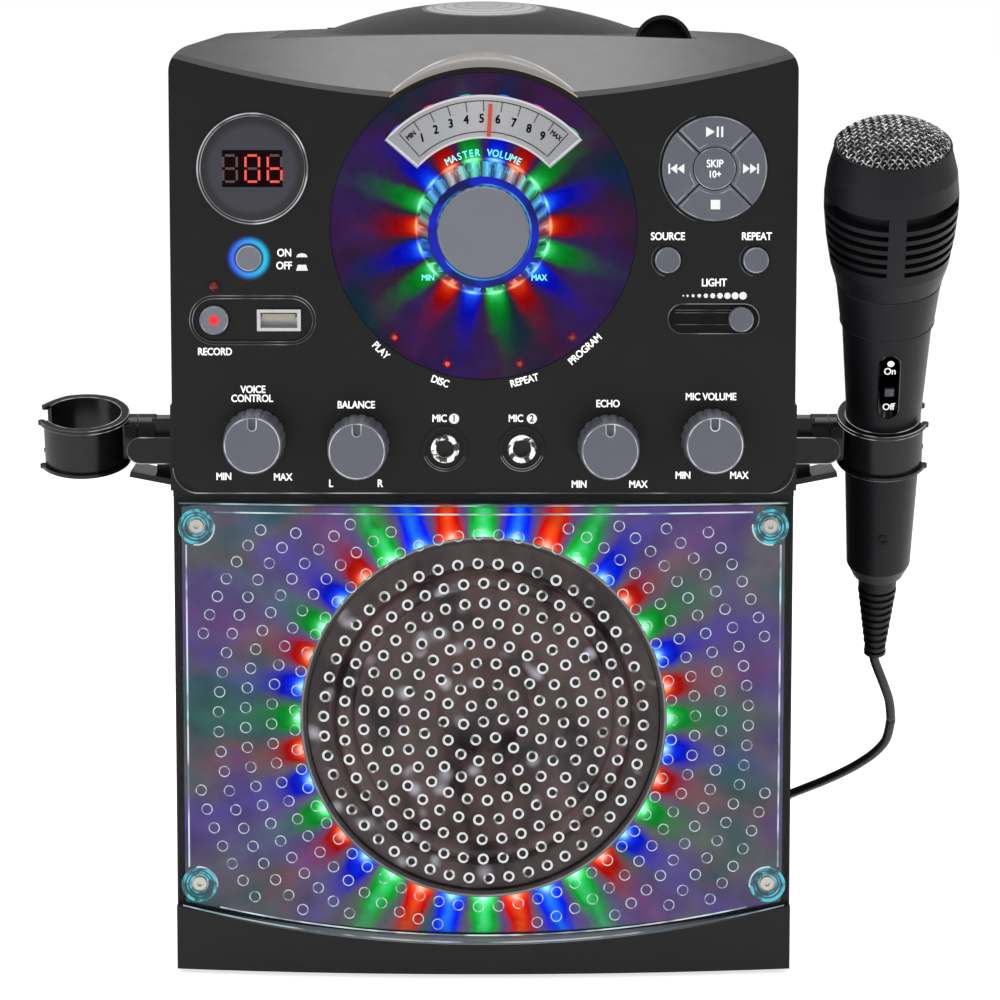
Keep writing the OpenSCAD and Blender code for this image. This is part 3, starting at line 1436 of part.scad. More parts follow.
// The 6.35 mm plug lies on its grip, with the cord's end in its sleeve
plug_grip_r = cord_d / 2 + coil_pitch - 0.05;
plug_r = 3.175;
module cord_plug() place() color([0.7, 0.7, 0.72])
    translate(coil_exit - [coil_tail, 0, 0]) rotate([0, -90, 0]) rotate_extrude() polygon([
        [0, 0], [cord_d / 2 + 1, 0], [cord_d / 2 + 1.6, 9], [plug_grip_r, 10], [plug_grip_r, 30], [plug_r + 1, 32],
        [plug_r, 32], [plug_r, 56], [plug_r - 0.9, 57.6], [plug_r, 59], [plug_r - 1.6, 62], [0, 62.5]
    ]);

front_panel();
front_shell();
rear_shell();
disc_well();
feet();
clear_cover();
cover_screws();
speaker_basket();
speaker_cone();
speaker_lamp_ring();
dial_lens();
scale_plate();
dial_lamp_board();
status_lamps();
display_lens();
display_bezel();
display_module();
usb_socket();
mic_sockets();
potentiometers();
control_board();
main_board();
transformer();
rear_sockets();
rear_screws();
clip_bracket_left();
clip_bracket_right();
disc_chassis();
disc_lid();
lid_window();
volume_knob();
volume_skirt();
volume_pointer();
knob_voice();
knob_balance();
knob_echo();
knob_microphone();
key_play();
key_previous();
key_next();
key_stop();
key_skip();
button_source();
button_repeat();
button_record();
button_power();
lamp_slider();
clip_left();
clip_right();
mic_handle();
mic_head();
mic_switch();
mic_boot();
cord_upper();
cord_lower();
cord_coil();
cord_plug();
disc_hub();
laser_sled();
feed_gear();
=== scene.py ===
"""Dresses the karaoke machine: finishes for every CAD node, and the lamps' glow, painted highlights on the
hole rims of the clear cover and on moulded edges, the woven mesh of the microphone, the printing and the
cord.

Places are in millimetres in the cabinet's own coordinates, as in the part's source: x from the
cabinet's middle, y from the front panel's face towards the back, z from the floor."""

from functools import partial, partialmethod
from itertools import product
from math import cos, e, pi, radians, sin, sqrt

import bmesh
import bpy
from mathutils import Matrix, Vector
from mathutils.bvhtree import BVHTree


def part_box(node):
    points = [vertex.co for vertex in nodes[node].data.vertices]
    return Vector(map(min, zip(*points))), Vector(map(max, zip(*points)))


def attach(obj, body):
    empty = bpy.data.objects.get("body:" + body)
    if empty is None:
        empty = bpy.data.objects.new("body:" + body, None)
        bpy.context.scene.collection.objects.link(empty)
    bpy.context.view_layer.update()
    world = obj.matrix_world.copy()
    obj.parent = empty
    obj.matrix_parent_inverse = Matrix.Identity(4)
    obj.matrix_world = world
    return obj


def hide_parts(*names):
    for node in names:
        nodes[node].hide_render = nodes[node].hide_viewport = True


MM = 0.001
PANEL_T = 2.5

# The dial
DIAL_Z = 261
DIAL_R = 52.3
SKIRT_R = 22.4
CAP_R = 15.3
VOLUME_OUT = 28
RIM_R2 = 54.7
SCALE_R = (30, 44.7)
SCALE_A = 49
PLATE_Y = 2.2

# The loudspeaker and the clear cover in front of it
SPEAKER_Z = 91
RING_R = 63.5
RING_Y = -1.77
BAFFLE_Y = 4
BOW = 8
BOW_R = 719
FIELD = 0.8
COVER_W = 211.6
COVER_TOP = 166.5
STRIP_Z = 12
STRIP_R = 488
SCREW_X = 98.9
SCREW_Z = (157.9, 32)
NOTCH_R = 6.3
HOLE_PITCH = 6.9
HOLE_RINGS = 8
DIMPLE_RINGS = (65.2, 73.2, 82.3, 91.7, 101.2)

# Windows, buttons and knobs of the front panel
SIDE_X = 78.7
SIDE_Z = 280.8
BEZEL_R = 19
POWER_AT = (-80.1, 250.3)
RECORD_AT = (-92.2, 229)
SLIDER_AT = (88, 229.5)
SLOT_AT = (78.7, 229.5)
PILL_AT = (-79, 229)
USB_AT = (-70, 229)
JACK_X = 13.2
JACK_Z = 184.7
BUTTON_X = (62.9, 93)
BUTTON_Z = 249.6
KEY_Y = -0.8
KNOB_Y = -18.03
KNOBS = {"voice": (-78.5, 188), "balance": (-43, 186), "echo": (43, 186), "microphone": (78.5, 188)}

# The microphone, along its own axis from the clip's middle, and the clips
CLIP_AT = (141.3, 42, 184)
LEAN = 24
LEAN_LEFT = 18
ROLL = -1.3
FLANGE_R = 16.3
CLIP_BORE = 13.4
MOUTH_A = 54
CHEEK_X = 109.5
RIM_Z = 115
RIM_R = 19.8
MESH_H = 7.5
SWITCH_Z = 28.5
BOOT_END = 92

# The cord
CORD_D = 3.5
COIL_AT = (40, 236)
COIL_TURNS = 7
COIL_LAYERS = 2
COIL_PITCH = 3.95
COIL_R = 21
COIL_TAIL = 27

# The camera, from a fit of the panel's straight edges and round windows
CAMERA_Y = -1368
CAMERA_Z = 353.6
CAMERA_PITCH = 7.77
CAMERA_LENS = 144.4
CAMERA_SHIFT = 0.0165

# The lamps' colours with those of their bright cores, and the tints of the faint light round them
RED, GREEN, BLUE = (0.72, 0.0, 0.0), (0.0, 0.48, 0.03), (0.0, 0.006, 1.15)
PALE = {RED: (1.0, 0.16, 0.02), GREEN: (0.12, 1.0, 0.4), BLUE: (0.03, 0.4, 1.0)}
COVER_HAZE = ((0.045, 0.10, 0.11), (0.11, 0.095, 0.12), (0.095, 0.07, 0.2))
DIAL_HAZE = ((0.006, 0.018, 0.035), (0.035, 0.01, 0.04), (0.03, 0.012, 0.075))

# Rings of lamps: height of the middle, count, colours in turn and radius
SPEAKER_RING = (SPEAKER_Z, 36, (GREEN, RED, BLUE), RING_R)
DIAL_RING = (DIAL_Z, 18, (RED, BLUE, GREEN), SKIRT_R)

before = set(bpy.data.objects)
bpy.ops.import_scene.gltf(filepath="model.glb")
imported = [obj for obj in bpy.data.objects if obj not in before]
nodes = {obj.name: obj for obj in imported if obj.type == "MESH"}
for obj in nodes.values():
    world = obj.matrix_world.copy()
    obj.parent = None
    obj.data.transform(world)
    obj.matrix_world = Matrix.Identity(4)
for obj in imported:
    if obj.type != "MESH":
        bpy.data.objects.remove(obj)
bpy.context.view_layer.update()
panel_lo, panel_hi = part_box("front_panel")
MIDDLE_X = (panel_lo[0] + panel_hi[0]) / 2 / MM
FRONT_Y = panel_hi[1] / MM - PANEL_T


def at(x, y, z):
    """A point of the cabinet's coordinates in the frame, in metres."""
    return Vector(((x + MIDDLE_X) * MM, (y + FRONT_Y) * MM, z * MM))


def leaning(lean, roll):
    """The turn of a clip and of the microphone in it."""
    return Matrix.Rotation(radians(roll), 3, "Y") @ Matrix.Rotation(radians(lean), 3, "X")


def on_mic(x, y, z):
    """A point of the microphone's coordinates in the frame: its axis is z, and y points to its back."""
    return at(*(Vector(CLIP_AT) + leaning(LEAN, ROLL) @ Vector((x, y, z))))


def evenly(a, b, n):
    """Values from a to b in n equal steps."""
    return [a + (b - a) * i / n for i in range(n + 1)]


def circle(r, n, start=0.0):
    """Points of a circle of radius r round the origin, as (x, z)."""
    return [(r * cos(a), r * sin(a)) for a in [start + 2 * pi * i / n for i in range(n)]]


# Materials


def rgba(colour):
    """A colour with its alpha, or the socket that was given."""
    if isinstance(colour, (tuple, list)) and len(colour) == 3:
        return (*colour, 1.0)
    return colour


def toned(colour, level):
    return tuple(c * level for c in colour)


class Shade:
    """Builds the nodes of one material, or of the world: each call adds nodes and gives an output."""

    def __init__(self, name, kind="Material"):
        self.owner = (bpy.data.materials if kind == "Material" else bpy.data.worlds).new(name)
        self.owner.use_nodes = True
        self.tree = self.owner.node_tree
        self.tree.nodes.clear()
        self.out = self.node("Output" + kind)
        self.place = None

    def put(self, socket, value):
        if isinstance(value, bpy.types.NodeSocket):
            self.tree.links.new(value, socket)
        else:
            socket.default_value = value

    def node(self, kind, inputs=None, **settings):
        made = self.tree.nodes.new("ShaderNode" + kind)
        for key, value in settings.items():
            setattr(made, key, value)
        for key, value in (inputs or {}).items():
            self.put(made.inputs[key], value)
        return made

    def math(self, operation, *values, clamp=False):
        inputs = dict(enumerate(values))
        return self.node("Math", inputs, operation=operation, use_clamp=clamp).outputs[0]

    add = partialmethod(math, "ADD")
    sub = partialmethod(math, "SUBTRACT")
    mul = partialmethod(math, "MULTIPLY")
    div = partialmethod(math, "DIVIDE")
    mul_add = partialmethod(math, "MULTIPLY_ADD")
    absolute = partialmethod(math, "ABSOLUTE")

    def mix(self, share, a, b, mode="MIX"):
        inputs = {0: share, 6: rgba(a), 7: rgba(b)}
        return self.node("Mix", inputs, data_type="RGBA", blend_type=mode).outputs[2]

    def ramp(self, value, stops, interpolation="LINEAR"):
        made = self.node("ValToRGB", {"Fac": value})
        ramp = made.color_ramp
        ramp.interpolation = interpolation
        ramp.elements.remove(ramp.elements[0])
        ramp.elements[0].position = stops[0][0]
        ramp.elements[0].color = rgba(stops[0][1])
        for place, colour in stops[1:]:
            ramp.elements.new(place).color = rgba(colour)
        return made.outputs["Color"]

    def where(self):
        """The object's own coordinates, which are the frame's, in metres."""
        if self.place is None:
            self.place = self.node("TexCoord").outputs["Object"]
        return self.place

    def noise(self, size, detail=3.0, rough=0.5, stretch=(1, 1, 1)):
        """Soft noise from 0 to 1 whose features are about size millimetres across."""
        grown = self.node("Mapping", {"Vector": self.where(), "Scale": stretch}).outputs[0]
        inputs = {"Vector": grown, "Scale": 1 / (size * MM), "Detail": detail, "Roughness": rough}
        return self.node("TexNoise", inputs).outputs["Fac"]

    def patches(self, size, low, high):
        """Soft patches about size millimetres across, from 0 to 1."""
        return self.span(self.noise(size, 2), low, high)

    def parts(self, vector):
        """The x, y and z of a vector."""
        return self.node("SeparateXYZ", {"Vector": vector}).outputs

    def polar(self, x, z):
        """The distance from a point of the panel in millimetres, and its x and z."""
        place, middle = self.parts(self.where()), at(x, 0, z)
        dx = self.mul(self.sub(place[0], middle.x), 1 / MM)
        dz = self.mul(self.sub(place[2], middle.z), 1 / MM)
        return self.math("SQRT", self.add(self.mul(dx, dx), self.mul(dz, dz))), dx, dz

    def span(self, value, low, high):
        """A smooth step from 0 where the value is low to 1 where it is high."""
        inputs = {"Value": value, "From Min": low, "From Max": high}
        return self.node("MapRange", inputs, interpolation_type="SMOOTHSTEP").outputs[0]

    def falloff(self, value, length):
        """exp(-value / length)."""
        return self.math("POWER", e, self.mul(value, -1 / length))

    def band(self, value, middle, width):
        """A soft bell that is 1 at middle and falls away over width."""
        off = self.div(self.sub(value, middle), width)
        return self.math("POWER", e, self.mul(self.mul(off, off), -1))

    def scale(self, colour, level):
        inputs = {0: colour, "Scale": level}
        return self.node("VectorMath", inputs, operation="SCALE").outputs[0]

    def bump(self, height, strength, distance=0.2):
        inputs = {"Height": height, "Strength": strength, "Distance": distance * MM}
        return self.node("Bump", inputs).outputs[0]

    def done(self, colour, rough, glow=None, strength=1.0, **inputs):
        """Ends the material with its shader."""
        names = {
            "metal": "Metallic", "coat": "Coat Weight", "alpha": "Alpha", "normal": "Normal",
            "specular": "Specular IOR Level",
        }
        values = {"Base Color": rgba(colour), "Roughness": rough}
        values.update({names[key]: value for key, value in inputs.items()})
        if glow is not None:
            values.update({"Emission Color": rgba(glow), "Emission Strength": strength})
        return self.end("BsdfPrincipled", values)

    def end(self, kind, values):
        self.put(self.out.inputs["Surface"], self.node(kind, values).outputs[0])
        return self.owner


def moulded(name, colour, rough=0.4, grain=0.5, relief=0.12, vary=0.25, **inputs):
    """Moulded plastic: a fine grain, faint blotches in colour and sheen."""
    s = Shade(name)
    shade = s.mix(s.noise(14), toned(colour, 1 - vary), toned(colour, 1 + vary))
    gloss = s.mul_add(s.noise(5, 4), 0.16, rough - 0.08)
    return s.done(shade, gloss, normal=s.bump(s.noise(grain, 2), relief), **inputs)


def metal(name, colour, rough, stretch=(1, 1, 1)):
    """Bare or plated metal with fine brushing along the axis that stretch leaves small."""
    s = Shade(name)
    grain = s.noise(1.2, 4, 0.6, stretch)
    shade = s.mix(grain, toned(colour, 0.82), colour)
    gloss = s.mul_add(grain, 0.2, rough - 0.1)
    return s.done(shade, gloss, metal=1.0, normal=s.bump(grain, 0.08))


def lamp_pattern(s, ring, drift):
    """The colours of a ring of outward lamps and of their bright cores, the distance out from the ring,
    the distance from the middle of the lamp's sector, 0.5 at its border, and what s.polar gives."""
    z, lamps, order, radius = ring
    r, dx, dz = s.polar(0, z)
    out = s.math("MAXIMUM", s.sub(r, radius), 0)
    wobble = s.mul(s.sub(s.noise(8, 2), 0.5), drift)
    far = s.mul(out, 0.06, clamp=True)
    turn = s.mul_add(wobble, far, s.mul(s.math("ARCTAN2", dz, dx), lamps / (2 * pi)))
    which = s.math("FLOOR", s.add(turn, 0.5))
    aside = s.absolute(s.sub(turn, which))
    phase = s.div(s.add(s.math("FLOORED_MODULO", which, 3), 0.5), 3)
    rows = (order, [PALE[c] for c in order])
    colours = [s.ramp(phase, [(i / 3, c) for i, c in enumerate(row)], "CONSTANT") for row in rows]
    return *colours, out, aside, r, dx, dz


def haze_colour(s, tints):
    """The faint light of the whole ring on the background, in large patches of three tints."""
    tint = s.ramp(s.noise(38, 2, 0.45), [(0.38 + 0.09 * i, c) for i, c in enumerate(tints)])
    return s.scale(tint, s.mul_add(s.noise(11, 4), 0.9, 0.55))


def glow_field(name, ring, reach, beams, wash, tints, core):
    """The plane behind the clear cover or the dial's lens, lit by the ring of lamps. Beams is how much
    farther the lamps above and below the ring throw, wash how strong their colours stay far out, and core
    how far the white spot at a lamp spreads."""
    s = Shade(name)
    colour, pale, out, aside, r, dx, dz = lamp_pattern(s, ring, 0.5)
    steep = s.span(s.div(s.absolute(dz), r), 0.72, 0.93)
    redness = s.node("SeparateColor", {0: colour}).outputs[0]
    away = s.mul(out, s.mul_add(redness, 0.3, 1.0))
    near = s.band(s.div(away, s.mul_add(steep, beams, reach)), 0, 1.0)
    soft = s.span(s.mul_add(out, 0.006 if beams else 0.009, aside), 0.56, 0.2)
    near = s.mul(soft, near)
    faint = s.mul(s.mul_add(soft, 0.75, 0.25), s.mul(s.falloff(out, 34), wash))
    uneven = s.mul_add(s.noise(4), 0.9, 0.55)
    close = s.mul_add(s.falloff(out, 3), 0.8, s.mul_add(steep, 0.5 if beams else 0, 0.42))
    level = s.mul(s.add(s.mul(near, close), faint), uneven)
    shine = s.mul(s.band(aside, 0, 0.3), s.falloff(out, 1.7))
    beam = s.mul(s.band(aside, 0, 0.16), s.mul(steep, 0.45 if beams else 0))
    lit = s.scale(s.mix(s.math("MAXIMUM", shine, beam), colour, pale), level)
    clear_of_lamps = s.sub(1, s.mul(near, 1.5), clamp=True)
    total = s.mix(1.0, lit, s.scale(haze_colour(s, tints), clear_of_lamps), "ADD")
    spot = s.mul(s.band(out, 0.6, core[0]), s.band(aside, 0, core[1]))
    total = s.mix(1.0, total, s.scale(s.mix(0.5, pale, (0.8, 0.9, 0.85)), spot), "ADD")
    return s.done((0.004, 0.004, 0.005), 0.6, total, specular=0.0)


def collar_finish():
    """The loudspeaker's collar: dark like the loudspeaker, with a painted highlight along its thin edge.
    Its lamps glow.
    """
    s = Shade("speaker_collar")
    colour, pale, out, aside, r, dx, dz = lamp_pattern(s, SPEAKER_RING, 0)
    edge = s.mix(s.noise(9, 2), (0.1, 0.085, 0.085), (0.5, 0.47, 0.5))
    edge = s.scale(edge, s.band(r, RING_R - 0.55, 0.35))
    glow = s.mix(s.math("GREATER_THAN", r, RING_R + 0.05), edge, pale)
    return s.done((0.03, 0.022, 0.021), 0.4, glow, 0.8, normal=s.bump(s.noise(3), 0.2))


# Glowing surfaces: the lamps, and painted light on print, bevels and unlit digits, which are no lamps
def plain_glow(name, colour, strength, body=(0.02, 0.02, 0.02), rough=0.3):
    s = Shade(name)
    flicker = s.mul_add(s.noise(3, 2), 0.3, 0.85)
    return s.done(body, rough, s.mix(flicker, toned(colour, 0.6), colour), strength)


def broken_glow(name, dark, light, size, low, high):
    """A painted highlight: glowing lines where a moulded edge catches the light in places."""
    s = Shade(name)
    shade = s.mix(s.patches(size, low, high), dark, light)
    return s.done((0.05, 0.05, 0.055), 0.3, shade, 0.85)


def clear(name, tint, alpha, rough, edge=0.55, **inputs):
    """Clear moulding: mostly see-through, with a gloss that stays on its edges."""
    s = Shade(name)
    rim = s.node("LayerWeight", {"Blend": 0.25}).outputs["Facing"]
    see = s.mul_add(rim, edge, alpha, clamp=True)
    return s.done(tint, rough, alpha=see, normal=s.bump(s.noise(2.5, 2), 0.04), **inputs)


def shell_finish():
    """The cabinet's black plastic: its sloping top catches the light, most in the middle."""
    s = Shade("shell_black")
    up = s.parts(s.node("NewGeometry").outputs["Normal"])[2]
    aside = s.absolute(s.polar(0, DIAL_Z)[1])
    level = s.mul(s.span(up, 0.25, 0.5), s.mul_add(s.span(aside, 105, 35), 0.17, 0.01))
    shade = s.mix(s.noise(14), (0.009, 0.0088, 0.0095), (0.013, 0.0125, 0.0135))
    gloss = s.mul_add(s.noise(5, 4), 0.16, 0.3)
    glow = s.scale(s.mix(0.5, (1, 1, 1), (1, 0.97, 1)), level)
    return s.done(shade, gloss, glow, normal=s.bump(s.noise(0.45, 2), 0.1), specular=0.25)


def transformer_finish():
    s = Shade("transformer")
    inputs = {"Vector": s.where(), "Scale": 260.0, "Distortion": 0.6}
    sheets = s.node("TexWave", inputs, bands_direction="Z").outputs["Fac"]
    shade = s.mix(sheets, (0.10, 0.085, 0.07), (0.24, 0.21, 0.18))
    return s.done(shade, 0.45, metal=0.6, normal=s.bump(sheets, 0.4))


def scale_finish():
    """Silver scale plate, a little darker towards its outer corners.
    It glows faintly in its own colour: painted light.
    """
    s = Shade("scale_silver")
    side = s.mul(s.absolute(s.polar(0, DIAL_Z)[1]), 1 / 36, clamp=True)
    shade = s.mix(side, (0.56, 0.56, 0.57), (0.36, 0.36, 0.38))
    return s.done(shade, 0.38, shade, 0.22, metal=0.35, normal=s.bump(s.noise(0.4), 0.05))


def speaker_finish(name, tone):
    """The loudspeaker seen through the cover: grey-brown, with dark streaks and painted pale spots of light.
    It
    glows faintly in its own colours: painted light.
    """
    s = Shade(name)
    streak = s.noise(16, 5, 0.6, (1, 1, 0.55))
    shade = s.ramp(streak, [(0.38, (0.012, 0.006, 0.006)), (0.5, tone), (0.64, toned(tone, 1.5))])
    inputs = {"Vector": s.where(), "Scale": 95.0, "Randomness": 0.9}
    spots = s.node("TexVoronoi", inputs, feature="SMOOTH_F1").outputs["Distance"]
    pale = s.mul(s.span(spots, 0.32, 0.06), s.patches(20, 0.44, 0.56))
    shade = s.mix(s.mul(pale, 0.85), shade, (0.46, 0.44, 0.5))
    return s.done(shade, 0.35, shade, 0.6, normal=s.bump(streak, 0.3))


def skirt_finish():
    """The knob's clear fluted ring, which picks up the lamps' colours as painted light, brightest at the top
    and
    on its flutes, and its front: a painted dark blue glow with a thin bright line inside."""
    s = Shade("skirt_clear")
    colour, pale, out, aside, r, dx, dz = lamp_pattern(s, DIAL_RING, 0)
    flute = s.mul_add(s.math("SINE", s.mul(s.math("ARCTAN2", dz, dx), 30)), 0.5, 0.5)
    glass = s.mix(s.mul_add(s.noise(2.5, 2), 0.6, 0.4), pale, (0.16, 0.6, 0.72))
    level = s.mul_add(s.mul(flute, s.span(dz, -14, 20)), 0.85, 0.03)
    inside = s.mul(s.band(r, CAP_R + 0.6, 0.28), s.patches(14, 0.4, 0.6))
    blue = s.mix(s.patches(9, 0.35, 0.65), (0.0, 0.0, 0.08), (0.003, 0.008, 0.5))
    blue = s.mix(inside, blue, (0.06, 0.4, 0.95))
    front = s.math("LESS_THAN", s.parts(s.where())[1], at(0, 1.25 - VOLUME_OUT, 0).y)
    return s.done((0.01, 0.015, 0.03), 0.1, s.mix(front, s.scale(glass, level), blue), specular=0.15)


def pointer_finish():
    """The red pointer, hidden behind the lens's print below the scale. It glows faintly: painted light."""
    s = Shade("pointer_red")
    shade = s.mix(s.noise(2, 2), (0.5, 0.05, 0.02), (0.62, 0.09, 0.04))
    seen = s.mul(s.math("GREATER_THAN", s.polar(0, DIAL_Z)[0], SCALE_R[0] + 0.6), 0.8)
    return s.done(shade, 0.3, shade, 0.5, alpha=seen)


def halo_finish():
    """The power button's light: blue at the left, cyan at the right, fading into the panel."""
    s = Shade("power_halo")
    r, dx, dz = s.polar(*POWER_AT)
    glow = s.mix(s.mul_add(dx, 0.09, 0.45, clamp=True), (0.03, 0.14, 0.9), (0.01, 0.55, 0.85))
    fade = s.mul(s.math("POWER", s.span(r, 8.2, 5.6), 1.6), s.span(r, 4.4, 5.4))
    return s.done((0, 0, 0), 0.5, glow, alpha=fade)


def display_finish():
    """The display's window: blue-grey, darker round its edge."""
    s = Shade("display_window")
    rim = s.span(s.polar(-SIDE_X, SIDE_Z)[0], 13.6, 16.5)
    shade = s.mix(rim, (0.045, 0.044, 0.066), (0.012, 0.012, 0.016))
    return s.done(shade, 0.22, coat=0.5, normal=s.bump(s.noise(6, 2), 0.02))


def bezel_finish():
    """The display's glossy ring: dark, with painted highlights along its outer and its inner edge."""
    s = Shade("display_bezel")
    r = s.polar(-SIDE_X, SIDE_Z)[0]
    bright = s.mul_add(s.patches(14, 0.4, 0.62), 0.6, 0.25)
    inner = s.mul(s.band(r, BEZEL_R - 1.15, 0.16), 0.6)
    level = s.mul(s.math("MAXIMUM", s.band(r, BEZEL_R - 0.25, 0.22), inner), bright)
    return s.done((0.012, 0.012, 0.014), 0.2, (0.9, 0.9, 0.95), level, specular=0.3)


def plated_finish():
    """The sockets' plating, with the dark and bright patches of what it mirrors."""
    s = Shade("socket_plating")
    patch = s.patches(2.6, 0.44, 0.56)
    shade = s.mix(patch, (0.05, 0.045, 0.045), (0.9, 0.88, 0.84))
    return s.done(shade, 0.2, shade, 0.25, metal=1.0, normal=s.bump(patch, 0.1))


def usb_finish():
    """Plated shell with a pale tongue inside."""
    s = Shade("usb_socket")
    place, middle = s.parts(s.where()), at(USB_AT[0], 0, USB_AT[1])
    aside = s.absolute(s.sub(place[0], middle.x))
    high = s.absolute(s.sub(place[2], middle.z + 1.2 * MM))
    tongue = s.mul(s.math("LESS_THAN", aside, 5.65 * MM), s.math("LESS_THAN", high, 1.0 * MM))
    grain = s.noise(1.2)
    shade = s.mix(tongue, s.mix(grain, (0.6, 0.6, 0.6), (0.8, 0.8, 0.8)), (0.55, 0.5, 0.42))
    return s.done(shade, 0.28, metal=s.sub(1.0, tongue), normal=s.bump(grain, 0.05))


def plug_finish():
    """The plug: a black grip and a plated shank, told apart along the shank."""
    s = Shade("plug")
    grip_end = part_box("cord_plug")[1][0] - 32 * MM
    shank = s.math("LESS_THAN", s.parts(s.where())[0], grip_end)
    shade = s.mix(shank, (0.014, 0.014, 0.015), (0.75, 0.75, 0.76))
    gloss = s.mul_add(shank, -0.3, 0.48)
    return s.done(shade, gloss, metal=shank, normal=s.bump(s.noise(0.6), 0.06))


def window_finish():
    """The lid's clear window, painted bright with the light inside, with fine rings, and a painted shadow
    round its edge where it sits in its recess.
    """
    s = Shade("lid_window")
    flat = s.node("VectorMath", {0: s.where(), 1: (1, 1, 0)}, operation="MULTIPLY").outputs[0]
    away = s.node("VectorMath", {0: flat, 1: at(0, 89, 0)}, operation="DISTANCE")
    r = s.mul(away.outputs["Value"], 1 / MM)
    rings = s.mul_add(s.math("SINE", s.mul(r, 1.6)), 0.5, 0.5)
    shade = s.mix(s.mul(rings, s.span(r, 6, 22)), (0.5, 0.49, 0.5), (0.72, 0.71, 0.72))
    shade = s.mix(s.span(r, 19.6, 21.4), shade, (0.03, 0.03, 0.03))
    return s.done(shade, 0.18, coat=0.5, normal=s.bump(s.noise(1.5), 0.06))


inner_black = moulded("inner_black", (0.012, 0.012, 0.013), 0.6, 0.8, 0.2)
clip_black = moulded("clip_black", (0.012, 0.01, 0.0105), 0.24, 0.9, 0.05, specular=0.3)
rubber = moulded("rubber", (0.012, 0.012, 0.012), 0.65, 0.6, 0.25)
cord_black = moulded("cord_black", (0.014, 0.013, 0.014), 0.42, 0.5, 0.12)
mic_black = moulded("mic_black", (0.009, 0.009, 0.0115), 0.38, 0.28, 0.32, specular=0.2)
key_grey = moulded("key_grey", (0.165, 0.175, 0.215), 0.34, 0.4, 0.06, 0.12)
knob_grey = moulded("knob_grey", (0.16, 0.165, 0.205), 0.34, 0.4, 0.05, 0.04)
cap_grey = moulded("cap_grey", (0.245, 0.255, 0.305), 0.36, 0.4, 0.05, 0.05)
# The white print glows a little over its own white: painted light.
print_white = plain_glow("print_white", (0.8, 0.8, 0.8), 0.55, (0.75, 0.75, 0.75), 0.5)
print_black = moulded("print_black", (0.012, 0.012, 0.012), 0.55)

# Nodes of the part, by finish
FINISHES = (
    ("front_panel", moulded("panel_black", (0.010, 0.0098, 0.0105), 0.42, 0.35, 0.08, specular=0.25)),
    ("front_shell rear_shell", shell_finish()),
    ("disc_well display_module control_board rear_sockets disc_hub laser_sled dial_lamp_board", inner_black),
    ("feet", rubber),
    ("cover_screws potentiometers rear_screws", metal("zinc", (0.6, 0.58, 0.53), 0.4)),
    ("speaker_basket", speaker_finish("basket", (0.036, 0.024, 0.023))),
    ("speaker_cone", speaker_finish("cone", (0.058, 0.038, 0.037))),
    ("speaker_lamp_ring", collar_finish()),
    ("clear_cover", clear("cover_clear", (0.03, 0.035, 0.045), 0.012, 0.35)),
    ("dial_lens", clear("lens_clear", (0.012, 0.002, 0.02), 0.02, 0.3, 0.03, specular=0.1)),
    ("scale_plate", scale_finish()),
    ("volume_knob button_record button_power", cap_grey),
    ("volume_skirt", skirt_finish()),
    ("volume_pointer", pointer_finish()),
    (
        "status_lamps",
        moulded("status_red", (0.1, 0.002, 0.003), 0.12, glow=(0.5, 0.004, 0.01), strength=0.16),
    ),
    ("display_lens", display_finish()),
    ("display_bezel", bezel_finish()),
    ("usb_socket", usb_finish()),
    ("mic_sockets", plated_finish()),
    ("main_board", moulded("board_green", (0.01, 0.09, 0.035), 0.45, 1.2, 0.2)),
    ("transformer", transformer_finish()),
    ("disc_chassis", metal("steel", (0.55, 0.55, 0.56), 0.34, (1, 1, 6))),
    ("disc_lid", moulded("lid_black", (0.014, 0.014, 0.015), 0.3, 0.45, 0.08, specular=0.22)),
    ("lid_window", window_finish()),
    ("feed_gear", moulded("nylon", (0.6, 0.6, 0.56), 0.45, 0.7, 0.1)),
    ("knob_voice knob_balance knob_echo knob_microphone", knob_grey),
    ("key_play key_previous key_next key_stop key_skip button_source button_repeat lamp_slider", key_grey),
    ("clip_bracket_left clip_bracket_right clip_left clip_right", clip_black),
    ("mic_handle mic_head", mic_black),
    ("mic_switch", moulded("switch_grey", (0.03, 0.03, 0.04), 0.35)),
    ("mic_boot", moulded("boot_black", (0.01, 0.01, 0.012), 0.5, 0.4, 0.2, specular=0.3)),
    ("cord_plug", plug_finish()),
)
for names, finish in FINISHES:
    for name in names.split():
        slots = nodes[name].data.materials
        slots.clear()
        slots.append(finish)


# Making pieces


def put_in_scene(name, data):
    """An object that carries the data, linked to the scene."""
    made = bpy.data.objects.new(name, data)
    bpy.context.scene.collection.objects.link(made)
    return made


def mesh_of(name, points, faces):
    mesh = bpy.data.meshes.new(name)
    mesh.from_pydata([tuple(p) for p in points], [], faces)
    mesh.update()
    return mesh


def piece(name, shape, finish, body="cabinet", smooth=True):
    """Puts a mesh, or one of (points, faces), in the scene with its finish and lets it ride on a body."""
    mesh = mesh_of(name, *shape) if isinstance(shape, tuple) else shape
    made = put_in_scene(name, mesh)
    mesh.materials.append(finish)
    mesh.shade_smooth() if smooth else mesh.shade_flat()
    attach(made, body)
    return made


def row_faces(a, b, n, closed=True):
    """The faces between two rows of n points, whose first points are a and b."""
    return [(a + k, a + (k + 1) % n, b + (k + 1) % n, b + k) for k in range(n if closed else n - 1)]


